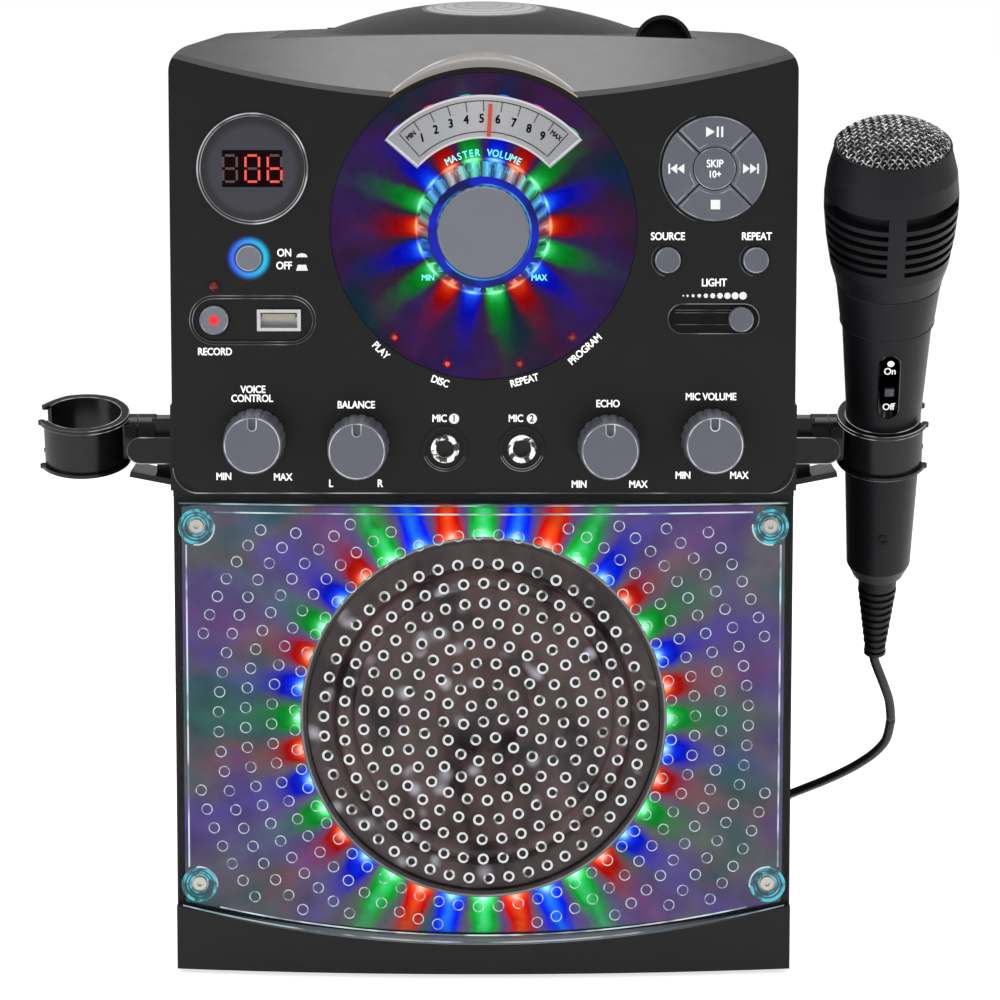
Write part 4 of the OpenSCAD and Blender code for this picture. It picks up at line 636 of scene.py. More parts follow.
def sweep(points, radius, sides=8, closed=False):
    """A tube along points, as vertices and faces. The ends are closed unless the line is."""
    count = len(points)
    verts, faces = [], []
    across = None
    for i, p in enumerate(points):
        before = points[(i - 1) % count] if closed or i > 0 else p
        after = points[(i + 1) % count] if closed or i < count - 1 else p
        along = (after - before).normalized()
        if across is None:
            across = along.orthogonal().normalized()
        across = (across - along * across.dot(along)).normalized()
        other = along.cross(across)
        r = radius[i] if isinstance(radius, list) else radius
        verts += [p + r * (x * across + z * other) for x, z in circle(1, sides)]
    for i in range(count if closed else count - 1):
        faces += row_faces(i * sides, (i + 1) % count * sides, sides)
    if not closed:
        faces += [tuple(range(sides - 1, -1, -1)), tuple((count - 1) * sides + k for k in range(sides))]
    return verts, faces


def lines(name, paths, radius, finish, body="cabinet", sides=6, closed=False):
    """One piece of several tubes along paths, radius in millimetres."""
    verts, faces = [], []
    for more, their in (sweep(path, radius * MM, sides, closed) for path in paths):
        faces += [tuple(i + len(verts) for i in face) for face in their]
        verts += more
    return piece(name, (verts, faces), finish, body)


loops = partial(lines, closed=True)


def annulus(name, x, z, y, r0, r1, finish, body="cabinet", n=96, dish=0.0):
    """A flat ring facing the front, its inner edge dish millimetres behind the outer one."""
    rings = 3
    points, faces = [], []
    for j in range(rings + 1):
        r = r0 + (r1 - r0) * j / rings
        points += [at(x + dx, y + dish * (1 - j / rings), z + dz) for dx, dz in circle(r, n)]
    for j in range(rings):
        faces += row_faces(j * n, (j + 1) * n, n)
    return piece(name, (points, faces), finish, body)


def written(items, y, weight=0.024):
    """Flat letters as one mesh: items are (text, x, z, height), with a turn in degrees where they aren't
    level. Each is laid four times, weight times its height apart, which makes its strokes bolder."""
    whole = bmesh.new()
    shifts = ((-1, -1), (1, -1), (-1, 1), (1, 1))
    for (text, x, z, height, *turn), (right, up) in product(items, shifts):
        data = bpy.data.curves.new("letters", "FONT")
        data.body = text
        data.align_x = "CENTER"
        data.align_y = "CENTER"
        data.size = height * 1.42 * MM
        data.space_character = 0.96
        data.resolution_u = 3
        carrier = bpy.data.objects.new("letters", data)
        flat = carrier.to_mesh().copy()
        placed = Matrix.Translation(at(x + right * weight * height, y, z + up * weight * height))
        turned = Matrix.Rotation(pi / 2, 4, "X") @ Matrix.Rotation(radians(sum(turn)), 4, "Z")
        flat.transform(placed @ turned @ Matrix.Diagonal((0.86, 1.0, 1.0, 1.0)))
        whole.from_mesh(flat)
        bpy.data.meshes.remove(flat)
        bpy.data.objects.remove(carrier)
        bpy.data.curves.remove(data)
    mesh = bpy.data.meshes.new("letters")
    whole.to_mesh(mesh)
    whole.free()
    return mesh


def flat_piece(name, shapes, y, finish, body="cabinet"):
    """Flat outlines that face the front: each shape is a list of (x, z) corners."""
    verts, faces = [], []
    for shape in shapes:
        faces.append(tuple(range(len(verts), len(verts) + len(shape))))
        verts += [at(x, y, z) for x, z in shape]
    piece(name, (verts, faces), finish, body, smooth=False)


def box_shape(x, z, w, h):
    return [(x - w / 2, z - h / 2), (x + w / 2, z - h / 2), (x + w / 2, z + h / 2), (x - w / 2, z + h / 2)]


def disc_shape(x, z, r, n=24):
    return [(x + dx, z + dz) for dx, dz in circle(r, n)]


def arc_points(x, z, y, r, a0, a1, n=32):
    """Points of an arc round (x, z) from a0 to a1 degrees, counted from +X towards +Z."""
    return [at(x + r * cos(a), y, z + r * sin(a)) for a in map(radians, evenly(a0, a1, n))]


# The camera and the cord

camera = put_in_scene("camera", bpy.data.cameras.new("camera"))
camera.location = at(0, CAMERA_Y, CAMERA_Z)
camera.rotation_euler = (radians(90 - CAMERA_PITCH), 0, 0)
camera.data.lens = CAMERA_LENS
camera.data.shift_x = CAMERA_SHIFT
camera.data.clip_end = 50
bpy.context.scene.camera = camera

boot_tip = (on_mic(0, 0, -BOOT_END) - at(0, 0, 0)) / MM
boot_dir = (boot_tip - Vector(CLIP_AT)) / BOOT_END
coil_inner = COIL_R - COIL_TURNS * COIL_PITCH / 2
coil_outer = coil_inner + COIL_TURNS * COIL_PITCH
coil_entry = Vector((COIL_AT[0] + coil_outer, COIL_AT[1] - CORD_D, CORD_D / 2))
ROUTE_UPPER = [
    boot_tip, boot_tip + CORD_D * boot_dir, (147.2, 84.5, 87), (149.7, 88.5, 80), (150.9, 93, 72.4),
]
ROUTE_LOWER = [
    (150.9, 93, 72.4), (149.9, 98.5, 64), (146.6, 104, 58), (141.7, 110, 52.7), (136.3, 117, 47.8),
    (129.2, 127, 42), (122.4, 137, 36.8), (117.4, 146, 32.5), (114.6, 155, 28), (113.2, 166, 22.5),
    (111.5, 178, 16.5), (108.5, 190, 10.5), (103, 201, 6), (94, 208, 3.2), (85, 213, 2), (77.5, 221, 1.75),
    coil_entry - Vector((0.3, 2 * CORD_D, 0)), coil_entry - Vector((0, CORD_D, 0)), coil_entry,
]


def smooth_route(route, steps):
    """Points on a Catmull-Rom curve through the route, steps to each span."""
    p = [Vector(q) for q in route]
    made = []
    for i in range(len(p) - 1):
        a, b, c, d = p[max(i - 1, 0)], p[i], p[i + 1], p[min(i + 2, len(p) - 1)]
        for t in (j / steps for j in range(steps)):
            bend = (2 * a - 5 * b + 4 * c - d) * t * t + (3 * b - a - 3 * c + d) * t ** 3
            made.append(0.5 * (2 * b + (c - a) * t + bend))
    return made + [p[-1]]


def coil_points(rings=24):
    """One layer spirals in and the next out again, and the tail runs straight to the plug."""
    made = []
    end = COIL_LAYERS * COIL_TURNS - 0.75
    for i in range(int(rings * end) + 1):
        turn = i / rings
        layer = int(turn // COIL_TURNS)
        t = turn - layer * COIL_TURNS
        r = coil_inner + COIL_PITCH * (t if layer % 2 else COIL_TURNS - t)
        lift = (1 - cos(pi * min(1, max(0, 2 * (turn - COIL_TURNS + 0.25))))) / 2
        a = 2 * pi * turn
        flat = (COIL_AT[0] + r * cos(a), COIL_AT[1] + r * sin(a))
        made.append(Vector((*flat, CORD_D / 2 + COIL_PITCH * lift)))
    last = made[-1]
    return made + [last - Vector((COIL_TAIL * i / 8, 0, 0)) for i in range(1, 9)]


def cord_piece(name, route, body):
    path = [at(*p) for p in route]
    length = sum((b - a).length for a, b in zip(path, path[1:]))
    made = piece(name, sweep(path, CORD_D / 2 * MM, 12), cord_black, body)
    for face in made.data.polygons[-2:]:
        face.use_smooth = False
    return made, path, length


upper, upper_path, upper_length = cord_piece("cord_at_microphone", smooth_route(ROUTE_UPPER, 4), "clip_right")
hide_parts("cord_upper")
lower_route = smooth_route(ROUTE_LOWER, 5)[:-1] + coil_points()
lower, lower_path, lower_length = cord_piece("cord_to_plug", lower_route, "cabinet")
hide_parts("cord_lower", "cord_coil")


# The lit background and the cover


def cover_y(x, lift=0.0):
    """The front of the cover's raised field at x."""
    return BOW_R - BOW - sqrt((BOW_R + FIELD + lift) ** 2 - x * x)


def strip_z(x, up=0.0):
    """The base strip's hollow top edge at x."""
    return STRIP_Z + STRIP_R - sqrt((STRIP_R - up) ** 2 - x * x)


def background():
    """The plane behind the clear cover, from the loudspeaker's collar to the cover's edges."""
    n, half, top = 144, COVER_W / 2 - 1.5, COVER_TOP - 1.5 - SPEAKER_Z
    outer = []
    for c, s in circle(1, n):
        side = min(half / abs(c) if c else 1e9, top / s if s > 0 else 1e9)
        reach = side
        for _ in range(20 if s < 0 else 0):
            x = max(-half, min(half, c * reach))
            reach = min(side, (strip_z(x, 1.5) - SPEAKER_Z) / s)
        outer.append((c * reach, s * reach))
    rows = ((circle(RING_R - 0.02, n), RING_Y), (circle(72, n), RING_Y), (outer, BAFFLE_Y - 0.1))
    points = [at(dx, y, SPEAKER_Z + dz) for row, y in rows for dx, dz in row]
    finish = glow_field("cover_glow", SPEAKER_RING, 11, 14, 0.15, COVER_HAZE, (1.5, 0.13))
    piece("lit_background", (points, row_faces(0, n, n) + row_faces(n, 2 * n, n)), finish, smooth=False)


def hole_places():
    """The holes in front of the loudspeaker, as in the part's source."""
    places = [(0.0, 0.0)]
    for k in range(1, HOLE_RINGS + 1):
        places += circle(k * HOLE_PITCH, round(2 * pi * k), radians(7 * k))
    return places


def dimple_places():
    """The blind dimples outside the loudspeaker, in arcs that leave the corners bare."""
    made = []
    for i, r in enumerate(DIMPLE_RINGS):
        for x, dz in circle(r, round(2 * pi * r / 7.0), 0.4 * i):
            if abs(x) < 98.5 and strip_z(x) + 7 < SPEAKER_Z + dz < COVER_TOP - 7:
                made.append((x, dz))
    return made


def rim_paths(places, r, lift, n=20):
    """Circles of radius r on the cover's bowed front, which they stand off by lift."""
    return [
        [at(dx + x, cover_y(dx + x, lift), SPEAKER_Z + dz + z) for x, z in circle(r, n)] for dx, dz in places
    ]


def cover_trim():
    # Painted highlights round the holes' rims
    white = broken_glow("hole_rim_glint", (0.12, 0.1, 0.1), (0.85, 0.85, 0.88), 3.2, 0.3, 0.5)
    loops("hole_rims", rim_paths(hole_places(), 1.56, 0.05), 0.4, white)
    # Dark discs inside the holes: painted shade
    hole_shades = rim_paths(hole_places(), 1.3, -0.6, 12)
    faces = [tuple(range(12 * i, 12 * i + 12)) for i in range(len(hole_shades))]
    piece("hole_shade_discs", (sum(hole_shades, []), faces), inner_black, smooth=False)
    # Painted highlights round the dimples
    faint = broken_glow("dimple_glint", (0.13, 0.16, 0.19), (0.62, 0.75, 0.8), 2.2, 0.3, 0.6)
    loops("dimple_rims", rim_paths(dimple_places(), 1.8, 0.02), 0.19, faint)
    # Rings of painted teal light round each screw
    boss_glow_rings = []
    for side, z, (r, y) in product((-1, 1), SCREW_Z, ((3.3, 0.3), (4.3, 0.1), (5.4, -0.5), (5.9, -0.6))):
        face = cover_y(side * SCREW_X, -0.8) + y
        boss_glow_rings.append([at(side * SCREW_X + dx, face, z + dz) for dx, dz in circle(r, 36)])
    teal = broken_glow("boss_teal_glow", (0.003, 0.08, 0.1), (0.05, 0.62, 0.75), 3, 0.4, 0.62)
    loops("screw_bosses", boss_glow_rings, 0.3, teal)

    # Painted highlights along the edge of the raised field: bottom, top, sides and the notches round the
    # screws
    half = COVER_W / 2 - 3.4
    low, high = SCREW_X - NOTCH_R * 1.15, SCREW_X - NOTCH_R
    edge = [[at(x, cover_y(x, 0.05), strip_z(x) + 3.6) for x in evenly(-low, low, 24)]]
    edge.append([at(x, cover_y(x, 0.05), COVER_TOP - 3.4) for x in evenly(-high, high, 24)])
    heights = evenly(SCREW_Z[1] + NOTCH_R, SCREW_Z[0] - NOTCH_R, 6)
    edge += [[at(side * half, cover_y(half, 0.05), z) for z in heights] for side in (-1, 1)]
    notch = [(SCREW_X - NOTCH_R * sin(a), NOTCH_R * cos(a)) for a in map(radians, evenly(-8, 98, 14))]
    for side, (z, way) in product((-1, 1), ((SCREW_Z[0], -1), (SCREW_Z[1], 1))):
        edge.append([at(side * x, cover_y(SCREW_X, 0.05), z + way * dz) for x, dz in notch])
    bright = broken_glow("edge_light", (0.12, 0.22, 0.26), (0.75, 0.9, 0.95), 14, 0.4, 0.6)
    lines("field_edge", edge, 0.28, bright)
    # Fainter painted highlights along the cover's lower and upper rims
    across = evenly(-COVER_W / 2 + 1, COVER_W / 2 - 1, 30)
    rim_low = [at(x, cover_y(x, -0.75), strip_z(x) + 0.9) for x in across]
    rim_top = [at(x, cover_y(x, -0.75), COVER_TOP - 0.6) for x in across]
    dim = broken_glow("edge_dim", (0.04, 0.1, 0.12), (0.4, 0.55, 0.6), 16, 0.4, 0.6)
    lines("cover_edge", [rim_low, rim_top], 0.3, dim)


background()
cover_trim()


# The dial's light and print


def on_dial(r, a):
    """The (x, z) of a point r from the dial's middle, a degrees clockwise from its top."""
    return r * sin(radians(a)), DIAL_Z + r * cos(radians(a))


def dial():
    finish = glow_field("dial_glow", DIAL_RING, 14, 0, 0.04, DIAL_HAZE, (0.4, 0.3))
    annulus("dial_floor", 0, DIAL_Z, 3.3, SCALE_R[0] - 0.2, SCALE_R[1] + 1, finish, n=180)
    annulus("dial_edge", 0, DIAL_Z, 0.86, SCALE_R[1] + 0.9, DIAL_R, finish, n=180, dish=2.4)
    annulus("dial_background", 0, DIAL_Z, 1.75, 19.7, SCALE_R[0] - 0.1, finish, n=180)

    def arc(y, r, half):
        """An arc from half degrees left of the dial's top to as many right of it."""
        return arc_points(0, DIAL_Z, y, r, 90 + half, 90 - half, 40)

    # The plate's bevelled silver edge, drawn as a painted highlight, and its printed scale
    y = PLATE_Y - 0.1
    edge = arc(y, SCALE_R[1] - 0.3, SCALE_A - 1) + arc(y, SCALE_R[0] + 0.3, 1.6 - SCALE_A)
    loops("scale_edge", [edge], 0.42, plain_glow("scale_rim_glint", (0.75, 0.75, 0.78), 0.4, (0.7, 0.7, 0.7)))
    # Spots of the lamps' light on the plate's upper edge
    spots = (
        (132, (0.02, 0.05, 0.9)), (115, (0.9, 0.02, 0.2)), (98, (0.02, 0.6, 0.4)),
        (81, (0.02, 0.2, 0.95)), (65, (0.9, 0.02, 0.3)), (46, (0.05, 0.6, 0.2)),
    )
    for k, (a, tint) in enumerate(spots):
        spot = arc_points(0, DIAL_Z, PLATE_Y - 0.2, SCALE_R[1] + 0.35, a + 2.6, a - 2.6, 10)
        widths = [MM * (0.04 + 0.16 * sin(pi * i / 10)) for i in range(11)]
        piece(f"edge_spot_{k}", sweep(spot, widths), plain_glow(f"edge_spot_{k}", tint, 1.0))
    y = PLATE_Y - 0.06
    loops("scale_frame", [arc(y, 42.7, 42.5) + arc(y, 32.2, -42.5)], 0.17, print_black, sides=4)
    ticks, figures = [], []
    for k, a in enumerate((-33.8, -25.3, -16.7, -8.2, 0, 8.7, 17.3, 26, 34.2)):
        ticks.append([at(x, y, z) for x, z in (on_dial(42.7, a), on_dial(39.2, a))])
        figures.append((str(k + 1), *on_dial(36.6, a - 1), 2.9, -0.4 * a))
    lines("scale_ticks", ticks, 0.19, print_black, sides=4)
    figures += [(text, *on_dial(39.5, a), 1.7, -a) for text, a in (("MIN", -38.6), ("MAX", 38.6))]
    piece("scale_figures", written(figures, y - 0.02, 0.04), print_black, smooth=False)

    # Words on the lens, printed in cyan and glowing as painted light
    turns = evenly(-28.5, 28.5, 12)
    words = [(letter, *on_dial(25.1, a), 2.4, -a) for letter, a in zip("MASTER VOLUME", turns)]
    words += [("MIN", -19, DIAL_Z - 17.6, 2.1), ("MAX", 19, DIAL_Z - 17.6, 2.1)]
    cyan = plain_glow("print_cyan", (0.25, 0.85, 0.9), 0.9, (0.2, 0.5, 0.5), 0.5)
    piece("dial_words", written(words, 1.6, 0.014), cyan, smooth=False)
    # The status lamps' bright middles
    for i, (a, level) in enumerate(((218.8, 0.7), (194.8, 1.0), (165.2, 0.25), (141.2, 0.1))):
        red = plain_glow(f"status_light_{i}", (0.9, 0.05, 0.06), level, (0.2, 0.01, 0.01), 0.1)
        annulus(f"status_light_{i}", *on_dial(48.4, a), -2.32, 0.05, 0.8, red, n=20)


dial()


# The panel's printing and small lights

PANEL_WORDS = [
    ("VOICE", -79.0, 205.1, 2.5), ("CONTROL", -79.4, 202.0, 2.5), ("BALANCE", -43.7, 199.8, 2.5),
    ("ECHO", 42.7, 200.2, 2.5), ("MIC VOLUME", 78.0, 202.6, 2.5),
    ("MIC", -15.1, 195.1, 2.5), ("MIC", 11.1, 195.1, 2.5),
    ("MIN", -89.3, 175.0, 2.5), ("MAX", -69.0, 174.8, 2.5), ("L", -52.5, 172.6, 2.6),
    ("R", -35.6, 172.6, 2.6), ("MIN", 32.9, 172.3, 2.5), ("MAX", 53.2, 172.3, 2.5),
    ("MIN", 68.6, 175.4, 2.5), ("MAX", 87.9, 175.4, 2.5),
    ("RECORD", -92.0, 218.1, 2.5), ("ON", -68.0, 252.0, 2.6), ("OFF", -68.1, 247.6, 2.6),
    ("SOURCE", 62.9, 257.6, 2.6), ("REPEAT", 93.2, 257.6, 2.6), ("LIGHT", 78.8, 241.8, 2.6),
    ("PLAY", -35.2, 218.6, 2.5, -45), ("DISC", -14.9, 207.9, 2.5, -20),
    ("REPEAT", 14.0, 208.2, 2.5, 15), ("PROGRAM", 34.8, 219, 2.5, 42),
]
SOCKET_NUMBERS = [("1", -10.1, 195.1, 2.3), ("2", 16.6, 195.1, 2.3)]
# The power button's marks: out for off, in for on
POWER_MARKS = [
    [(-64, 250.6), (-60, 250.6), (-60.6, 251.6), (-62, 252.0), (-63.4, 251.6)],
    [(-64, 246), (-60, 246), (-60.6, 248), (-63.4, 248)],
]
# The keys' signs, about a point that is given from the pad's middle
KEY_MARKS = {
    "key_play": (0, 12.5, [
        [(-3.1, -1.8), (-0.1, 0), (-3.1, 1.8)], box_shape(0.9, 0, 0.7, 3.6), box_shape(2.4, 0, 0.7, 3.6),
    ]),
    "key_previous": (-12.9, 0, [
        box_shape(-2.6, 0, 0.6, 3.4), [(-2.2, 0), (0.1, -1.7), (0.1, 1.7)],
        [(0.2, 0), (2.5, -1.7), (2.5, 1.7)],
    ]),
    "key_next": (12.1, 0, [
        box_shape(2.6, 0, 0.6, 3.4), [(2.2, 0), (-0.1, 1.7), (-0.1, -1.7)],
        [(-0.2, 0), (-2.5, 1.7), (-2.5, -1.7)],
    ]),
    "key_stop": (0, -12.2, [box_shape(0.3, 0, 3.2, 3.2)]),
}


def panel_print():
    y = -0.04
    piece("panel_words", written(PANEL_WORDS, y), print_white, smooth=False)
    # The sockets' round numbers are dark on a white disc, and dots grow with the lamps' brightness
    shapes = [disc_shape(x, z, 1.75) for text, x, z, height in SOCKET_NUMBERS]
    shapes += [disc_shape(68.3 + 20.4 * (i / 9) ** 1.2, 237.4, 0.28 + 0.115 * i) for i in range(10)]
    flat_piece("panel_marks", shapes + POWER_MARKS, y, print_white)
    piece("socket_figures", written(SOCKET_NUMBERS, y - 0.04), print_black, smooth=False)
    y = KEY_Y - 0.04
    for key, (x, z, shapes) in KEY_MARKS.items():
        moved = [[(SIDE_X + x + dx, SIDE_Z + z + dz) for dx, dz in shape] for shape in shapes]
        flat_piece(f"{key}_mark", moved, y, print_white, key)
    skip = [("SKIP", SIDE_X, SIDE_Z + 1.6, 2.6), ("10+", SIDE_X, SIDE_Z - 2.0, 2.4)]
    piece("key_skip_mark", written(skip, y, 0.012), print_white, "key_skip", smooth=False)


def capsule(middle, w, h, y=0.0):
    """The outline of a slot with round ends."""
    (x, z), half = middle, (w - h) / 2
    return arc_points(x - half, z, y, h / 2, 90, 270, 14) + arc_points(x + half, z, y, h / 2, -90, 90, 14)


def glints():
    """Painted highlights: thin bright lines where the moulded edges of knobs, keys and the panel catch the
    light.
    """
    line = broken_glow("key_glint", (0.15, 0.16, 0.19), (0.5, 0.53, 0.58), 7, 0.42, 0.6)
    knob_glint = broken_glow("knob_glint", (0.3, 0.31, 0.34), (0.72, 0.74, 0.78), 5, 0.4, 0.6)
    for knob, (x, z) in KNOBS.items():
        rim = arc_points(x, z, KNOB_Y + 0.1, 9.3, 0, 360, 64)
        notch = arc_points(x, z + 6.4, KNOB_Y, 1.5, 180, 360, 10)
        notch = [at(x - 1.5, KNOB_Y, z + 9.1), *notch, at(x + 1.5, KNOB_Y, z + 9.1)]
        lines(f"knob_{knob}_lines", [rim, notch], 0.2, knob_glint, f"knob_{knob}")
    pad = (SIDE_X, SIDE_Z, KEY_Y)
    for key, turn in (("key_next", 0), ("key_play", 90), ("key_previous", 180), ("key_stop", 270)):
        outer = arc_points(*pad, 17.5, turn - 41.8, turn + 41.8)
        inner = arc_points(*pad, 8.6, turn + 38.6, turn - 38.6)
        loops(f"{key}_edge", [outer + inner], 0.11, line, key)
    lines("key_skip_edge", [arc_points(*pad, 6.95, 0, 360)], 0.12, line, "key_skip")
    buttons = {
        "button_source": (BUTTON_X[0], BUTTON_Z, -1.5, 4.1),
        "button_repeat": (BUTTON_X[1], BUTTON_Z, -1.5, 4.1),
        "button_record": (*RECORD_AT, KEY_Y, 4.6), "button_power": (*POWER_AT, -2, 4.1),
        "lamp_slider": (*SLIDER_AT, -4, 4.0),
    }
    for name, rim in buttons.items():
        lines(f"{name}_edge", [arc_points(*rim, 0, 360)], 0.13, line, name)

    # Painted highlights on the panel's recesses and border, painted shade in the sockets' depths, the
    # slider's slot
    dim = broken_glow("panel_glint", (0.03, 0.03, 0.032), (0.26, 0.26, 0.27), 11, 0.4, 0.62)
    arcs = [arc_points(SIDE_X, SIDE_Z, 0, 18.9, 110, 250)]
    arcs += [arc_points(x, BUTTON_Z, 0, 5.5, 120, 260) for x in BUTTON_X]
    arcs += [arc_points(x, JACK_Z, -0.6, r, 200, 340) for x, r in product((-JACK_X, JACK_X), (6.9, 7.7))]
    lines("panel_recess_glints", arcs, 0.14, dim)
    corners = [arc_points(x, 178, 0, 8.7, a, a + 90) for x, a in ((-98, 180), (98, 270))]
    border = broken_glow("border_glint", (0.04, 0.04, 0.042), (0.5, 0.5, 0.5), 22, 0.42, 0.62)
    lines("panel_border", [*corners, [at(-98, 0, 169.3), at(98, 0, 169.3)]], 0.2, border)
    # Dark discs in the sockets' bores: painted shade
    flat_piece("socket_bore_shade", [disc_shape(x, JACK_Z, 3.15) for x in (-JACK_X, JACK_X)], 1.5, inner_black)
    recesses = [capsule(SLOT_AT, 31.2, 10.2), capsule(PILL_AT, 43.2, 16.8), capsule(PILL_AT, 41.2, 14.8)]
    loops("recess_edges", recesses, 0.15, dim)
    # A glossy dark floor across the slot's recess: the recess's own floor, and painted shade over the slot's
    # opening
    floor = capsule(SLOT_AT, 30.2, 9.2, 0.96)
    gloss = moulded("slot_gloss", (0.004, 0.003, 0.003), 0.2, specular=0.15)
    piece("slot_floor", (floor, [tuple(range(len(floor)))]), gloss, smooth=False)
    x, z = SLOT_AT
    # Faint painted highlights along the slot's grooves
    grooves = [[at(x - 13, 0.93, z + dz), at(x + 13, 0.93, z + dz)] for dz in (-2.1, 2.0, 2.9)]
    dark = broken_glow("groove_glint", (0.01, 0.008, 0.008), (0.11, 0.1, 0.1), 12, 0.42, 0.6)
    lines("slot_grooves", grooves, 0.13, dark)


def boss_highlights():
    """The dial's housing, which rises out of the sloping top: a glowing sheet over it as painted sheen, a
    painted highlight on its rim and another along the outline where it meets the slope. Its axis rises
    towards the back."""
    shell = nodes["front_shell"].data
    tree = BVHTree.FromPolygons([v.co for v in shell.vertices], [p.vertices for p in shell.polygons])
    rise = radians(8)
    along, up = Vector((0, cos(rise), sin(rise))), Vector((0, -sin(rise), cos(rise)))
    r, rows = RIM_R2 + 0.15, [[], [], []]
    for a in map(radians, evenly(56, 124, 60)):
        foot = at(r * cos(a), PANEL_T, DIAL_Z) + r * sin(a) * MM * up
        hit = tree.ray_cast(foot - 4 * MM * along, along)[0]
        if hit:
            rows[0].append(at(r * cos(a), 0, DIAL_Z + r * sin(a)))
            rows[1].append(foot)
            rows[2].append(hit)
    pale = broken_glow("boss_outline_glint", (0.3, 0.28, 0.27), (0.85, 0.83, 0.8), 25, 0.35, 0.6)
    lines("boss_outline", [rows[2]], 0.4, pale)
    n = len(rows[2])
    faces = row_faces(0, n, n, False) + row_faces(n, 2 * n, n, False)
    # A glowing sheet over the housing: painted sheen
    painted_sheen = moulded("boss_sheen", (0.05, 0.045, 0.042), 0.4, 0.4, 0.05, glow=(0.25, 0.235, 0.225))
    piece("boss_sheen", (sum(rows, []), faces), painted_sheen)
    warm = broken_glow("boss_rim_glint", (0.45, 0.25, 0.16), (0.95, 0.78, 0.62), 30, 0.35, 0.6)
    lines("boss_rim", [arc_points(0, DIAL_Z, 0, RIM_R2 - 0.3, 54, 126, 60)], 0.25, warm)


def small_lights():
    annulus("power_halo", *POWER_AT, -0.12, 4.6, 9.2, halo_finish(), n=64)
    red = plain_glow("record_red", (0.9, 0.02, 0.015), 0.9, (0.6, 0.01, 0.01))
    annulus("record_dot", *RECORD_AT, KEY_Y - 0.05, 0.02, 1.7, red, "button_record", n=32)
    ground = moulded("display_ground", (0.008, 0.0012, 0.003), 0.6, specular=0.05)
    flat_piece("display_ground", [box_shape(-SIDE_X, SIDE_Z, 20.6, 12.6)], -0.03, ground)
    strokes = {"a": (0, 4.45), "g": (0, 0), "d": (0, -4.45)}
    strokes.update({"f": (-2.3, 2.25), "b": (2.3, 2.25), "e": (-2.3, -2.25), "c": (2.3, -2.25)})
    lit, unlit = [], []
    for i, on in enumerate(("", "abcdef", "cdefg")):
        for key, (x, z) in strokes.items():
            shape = box_shape(-SIDE_X + 7.6 * (i - 1) + x, SIDE_Z + z, *((0.8, 3.5) if x else (3.2, 0.8)))
            (lit if key in on else unlit).append(shape)
    flat_piece("digits_lit", lit, -0.06, plain_glow("digit_red", (1.0, 0.075, 0.045), 1.0))
    # The unlit segments glow faintly: painted light
    flat_piece("digits_unlit", unlit, -0.05, plain_glow("digit_off", (0.10, 0.05, 0.05), 0.7))


panel_print()
small_lights()
glints()
boss_highlights()


# The microphone's fine parts, and painted highlights on the clips


def clip_highlights():
    """Painted highlights on the clips' flanges, on the inner corner of their mouths and round the cheeks."""
    pale = broken_glow("clip_glint", (0.05, 0.045, 0.045), (0.55, 0.52, 0.52), 9, 0.4, 0.62)
    turns = evenly(radians(MOUTH_A / 2), radians(360 - MOUTH_A / 2), 60)
    edges = ((9, FLANGE_R - 0.15), (9, CLIP_BORE + 0.1), (-9, FLANGE_R - 0.15), (7.8, FLANGE_R - 0.05))
    for side, body, lean, roll in ((-1, "clip_left", LEAN_LEFT, 0), (1, "clip_right", LEAN, ROLL)):
        turned = leaning(lean, roll)
        middle = Vector((side * CLIP_AT[0], *CLIP_AT[1:]))
        rings = []
        for z, r in edges:
            ring = [Vector((side * r * cos(a), r * sin(a), z)) for a in turns]
            rings.append([at(*(middle + turned @ p)) for p in ring])
        lines(f"{body}_lines", rings, 0.16, pale, body)
    y, z, h = 27.45, CLIP_AT[2] - 3.4, 4.6
    cheeks = []
    for side in (-1, 1):
        rim = arc_points(side * (CHEEK_X + 10.8), z, y, h, 90, 90 - side * 180, 16)
        cheeks.append([at(side * CHEEK_X, y, z + h), *rim, at(side * CHEEK_X, y, z - h)])
    lines("cheek_lines", cheeks, 0.17, pale)


def mic_mesh():
    """Two sets of wires woven over the dome, each passing over and under the other."""
    dome = (RIM_R ** 2 + MESH_H ** 2) / (2 * MESH_H) + 0.15
    pitch, wire, wave = 1.85, 0.33, 0.3
    reach = RIM_R - 0.5
    count = int(reach // pitch)
    paths = []
    for way, k in product((0, 1), range(-count, count + 1)):
        off = k * pitch
        half = sqrt(reach * reach - off * off)
        path = []
        for t in evenly(-half, half, max(6, int(4 * 2 * half / pitch))):
            phase = cos(pi * t / pitch) * (1 if (k + way) % 2 else -1)
            u, v = (t, off) if way else (off, t)
            x, y = (u - v) / sqrt(2), (u + v) / sqrt(2)
            r = dome + wave * phase
            path.append(on_mic(x, y, RIM_Z + MESH_H - dome + sqrt(max(0, r * r - x * x - y * y))))
        paths.append(path)
    s = Shade("mesh_wire")
    glint = s.span(s.noise(3.5, 1), 0.35, 0.65)
    shade = s.mix(glint, (0.16, 0.16, 0.16), (0.55, 0.55, 0.56))
    lines("mesh_weave", paths, wire, s.done(shade, 0.2, metal=1.0, normal=s.bump(glint, 0.1)), "mic")
    loops("mesh_rim", [[on_mic(x, y, RIM_Z + 0.1) for x, y in circle(RIM_R, 72)]], 0.35, mic_black, "mic")


def mic_front(x, z, lift):
    """A point lift outside the handle's tapering front, x aside and z along the microphone's axis."""
    r = 13.2 + (15.7 - 13.2) * (z - 10) / 37.5 + lift
    return on_mic(x, -sqrt(r * r - x * x), z)


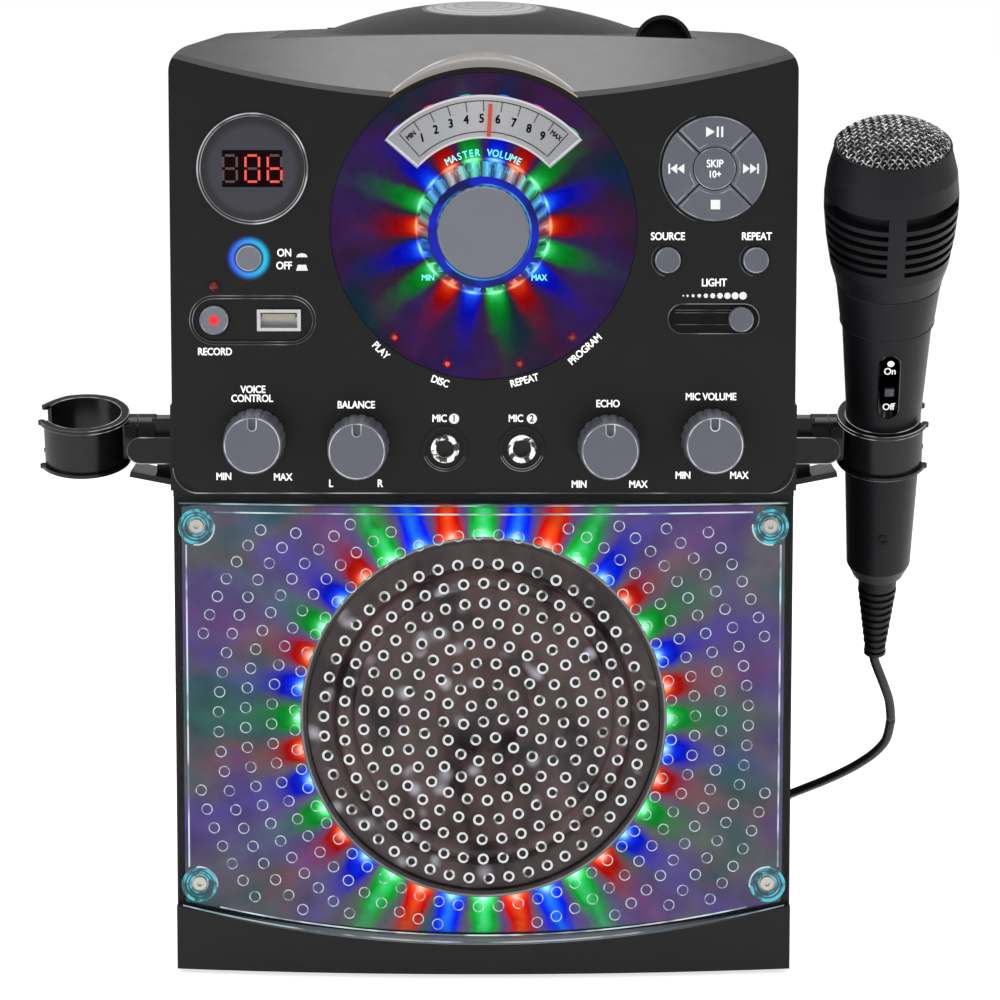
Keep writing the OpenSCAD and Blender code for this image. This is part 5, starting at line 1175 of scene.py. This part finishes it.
def mic_details():
    # The dark plate round the switch, laid on the handle's front
    n, w, low, high = 16, 3.9, SWITCH_Z - 13.5, SWITCH_Z + 13
    outline = [(w * cos(a), high - w + w * sin(a)) for a in evenly(0, pi, n)]
    outline += [(w * cos(a), low + w + w * sin(a)) for a in evenly(pi, 2 * pi, n)]
    middle, m = (low + high) / 2, len(outline)
    verts = []
    for lift, shrink in ((0.0, 1.0), (0.28, 0.96), (0.3, 0.9)):
        for x, z in outline:
            verts.append(mic_front(x * shrink, (z - middle) * (1 - (1 - shrink) * 0.3) + middle, lift))
    faces = [
        (j * m + k, (j + 1) * m + k, (j + 1) * m + (k + 1) % m, j * m + (k + 1) % m)
        for j in (0, 1) for k in range(m)
    ]
    faces += [(2 * m + k, 2 * m + k + 1, 2 * m + (m - 2 - k), 2 * m + (m - 1 - k)) for k in range(n)]
    piece("switch_plate", (verts, faces), moulded("plate_gloss", (0.006, 0.006, 0.007), 0.12), "mic")
    dot = [mic_front(0.2 + x, SWITCH_Z + 9.8 + z, 0.36) for x, z in circle(1.25, 20)]
    piece("switch_dot", (dot, [tuple(range(20))]), print_white, "mic", smooth=False)
    letters = written([("On", 0, 6.6, 2.7), ("Off", 0, -8.2, 2.7)], 0)
    for v in letters.vertices:
        v.co = mic_front((v.co.x - at(0, 0, 0).x) / MM, v.co.z / MM + SWITCH_Z, 0.36)
    piece("switch_words", letters, print_white, "mic", smooth=False)
    ribs = [[on_mic(x, -15.75, SWITCH_Z - 2.6 + 0.7 * i) for x in (-1.5, 1.5)] for i in range(4)]
    lines("switch_ribs", ribs, 0.24, knob_grey, "mic_switch")
    screw = [[on_mic(x, -12.32, -36 + z) for x, z in circle(r, 24)] for r in (1.9, 1.2)]
    loops("handle_screw", screw, 0.18, rubber, "mic")
    turns = [radians(-180 + 5 * i) for i in range(72)]
    seams = [[on_mic(r * sin(a), -r * cos(a), z) for a in turns] for r, z in ((16.35, 47.6), (18.15, 63.1))]
    loops("handle_seams", seams, 0.16, rubber, "mic")


clip_highlights()
mic_mesh()
mic_details()


# The room and the light


def room():
    points = [(-8, -4, 0), (8, -4, 0), (8, 12, 0), (-8, 12, 0)]
    floor = put_in_scene("floor", mesh_of("floor", points, [(0, 1, 2, 3)]))
    s = Shade("floor_white")
    rays = s.node("LightPath").outputs
    seen = s.math("MAXIMUM", rays["Is Camera Ray"], rays["Is Glossy Ray"])
    shade = s.mix(s.noise(400, 2), (0.83, 0.83, 0.83), (0.86, 0.86, 0.86))
    floor.data.materials.append(s.done(shade, 0.9, (1, 1, 1), s.mul(seen, 0.72), specular=0.0))
    s = Shade("world", "World")
    level = s.mul_add(s.node("LightPath").outputs["Is Camera Ray"], 0.62, 0.38)
    bpy.context.scene.world = s.end("Background", {"Color": (1, 1, 1, 1), "Strength": level})


def softbox(name, place, size, power):
    """A soft light that shines on the cabinet's middle."""
    data = bpy.data.lights.new(name, "AREA")
    data.shape = "RECTANGLE"
    data.size, data.size_y = size
    data.energy = power
    lamp = put_in_scene(name, data)
    lamp.location = place
    lamp.rotation_euler = (Vector((0, 0, 0.2)) - Vector(place)).to_track_quat("-Z", "Y").to_euler()


room()
softbox("top_light", (0, 0.3, 1.7), (1.6, 0.9), 17)
softbox("left_light", (-1.6, -1.2, 0.9), (0.8, 1.4), 9)
softbox("right_light", (1.6, -1.0, 0.8), (0.6, 1.2), 6)
bpy.context.scene.view_settings.view_transform = "Standard"
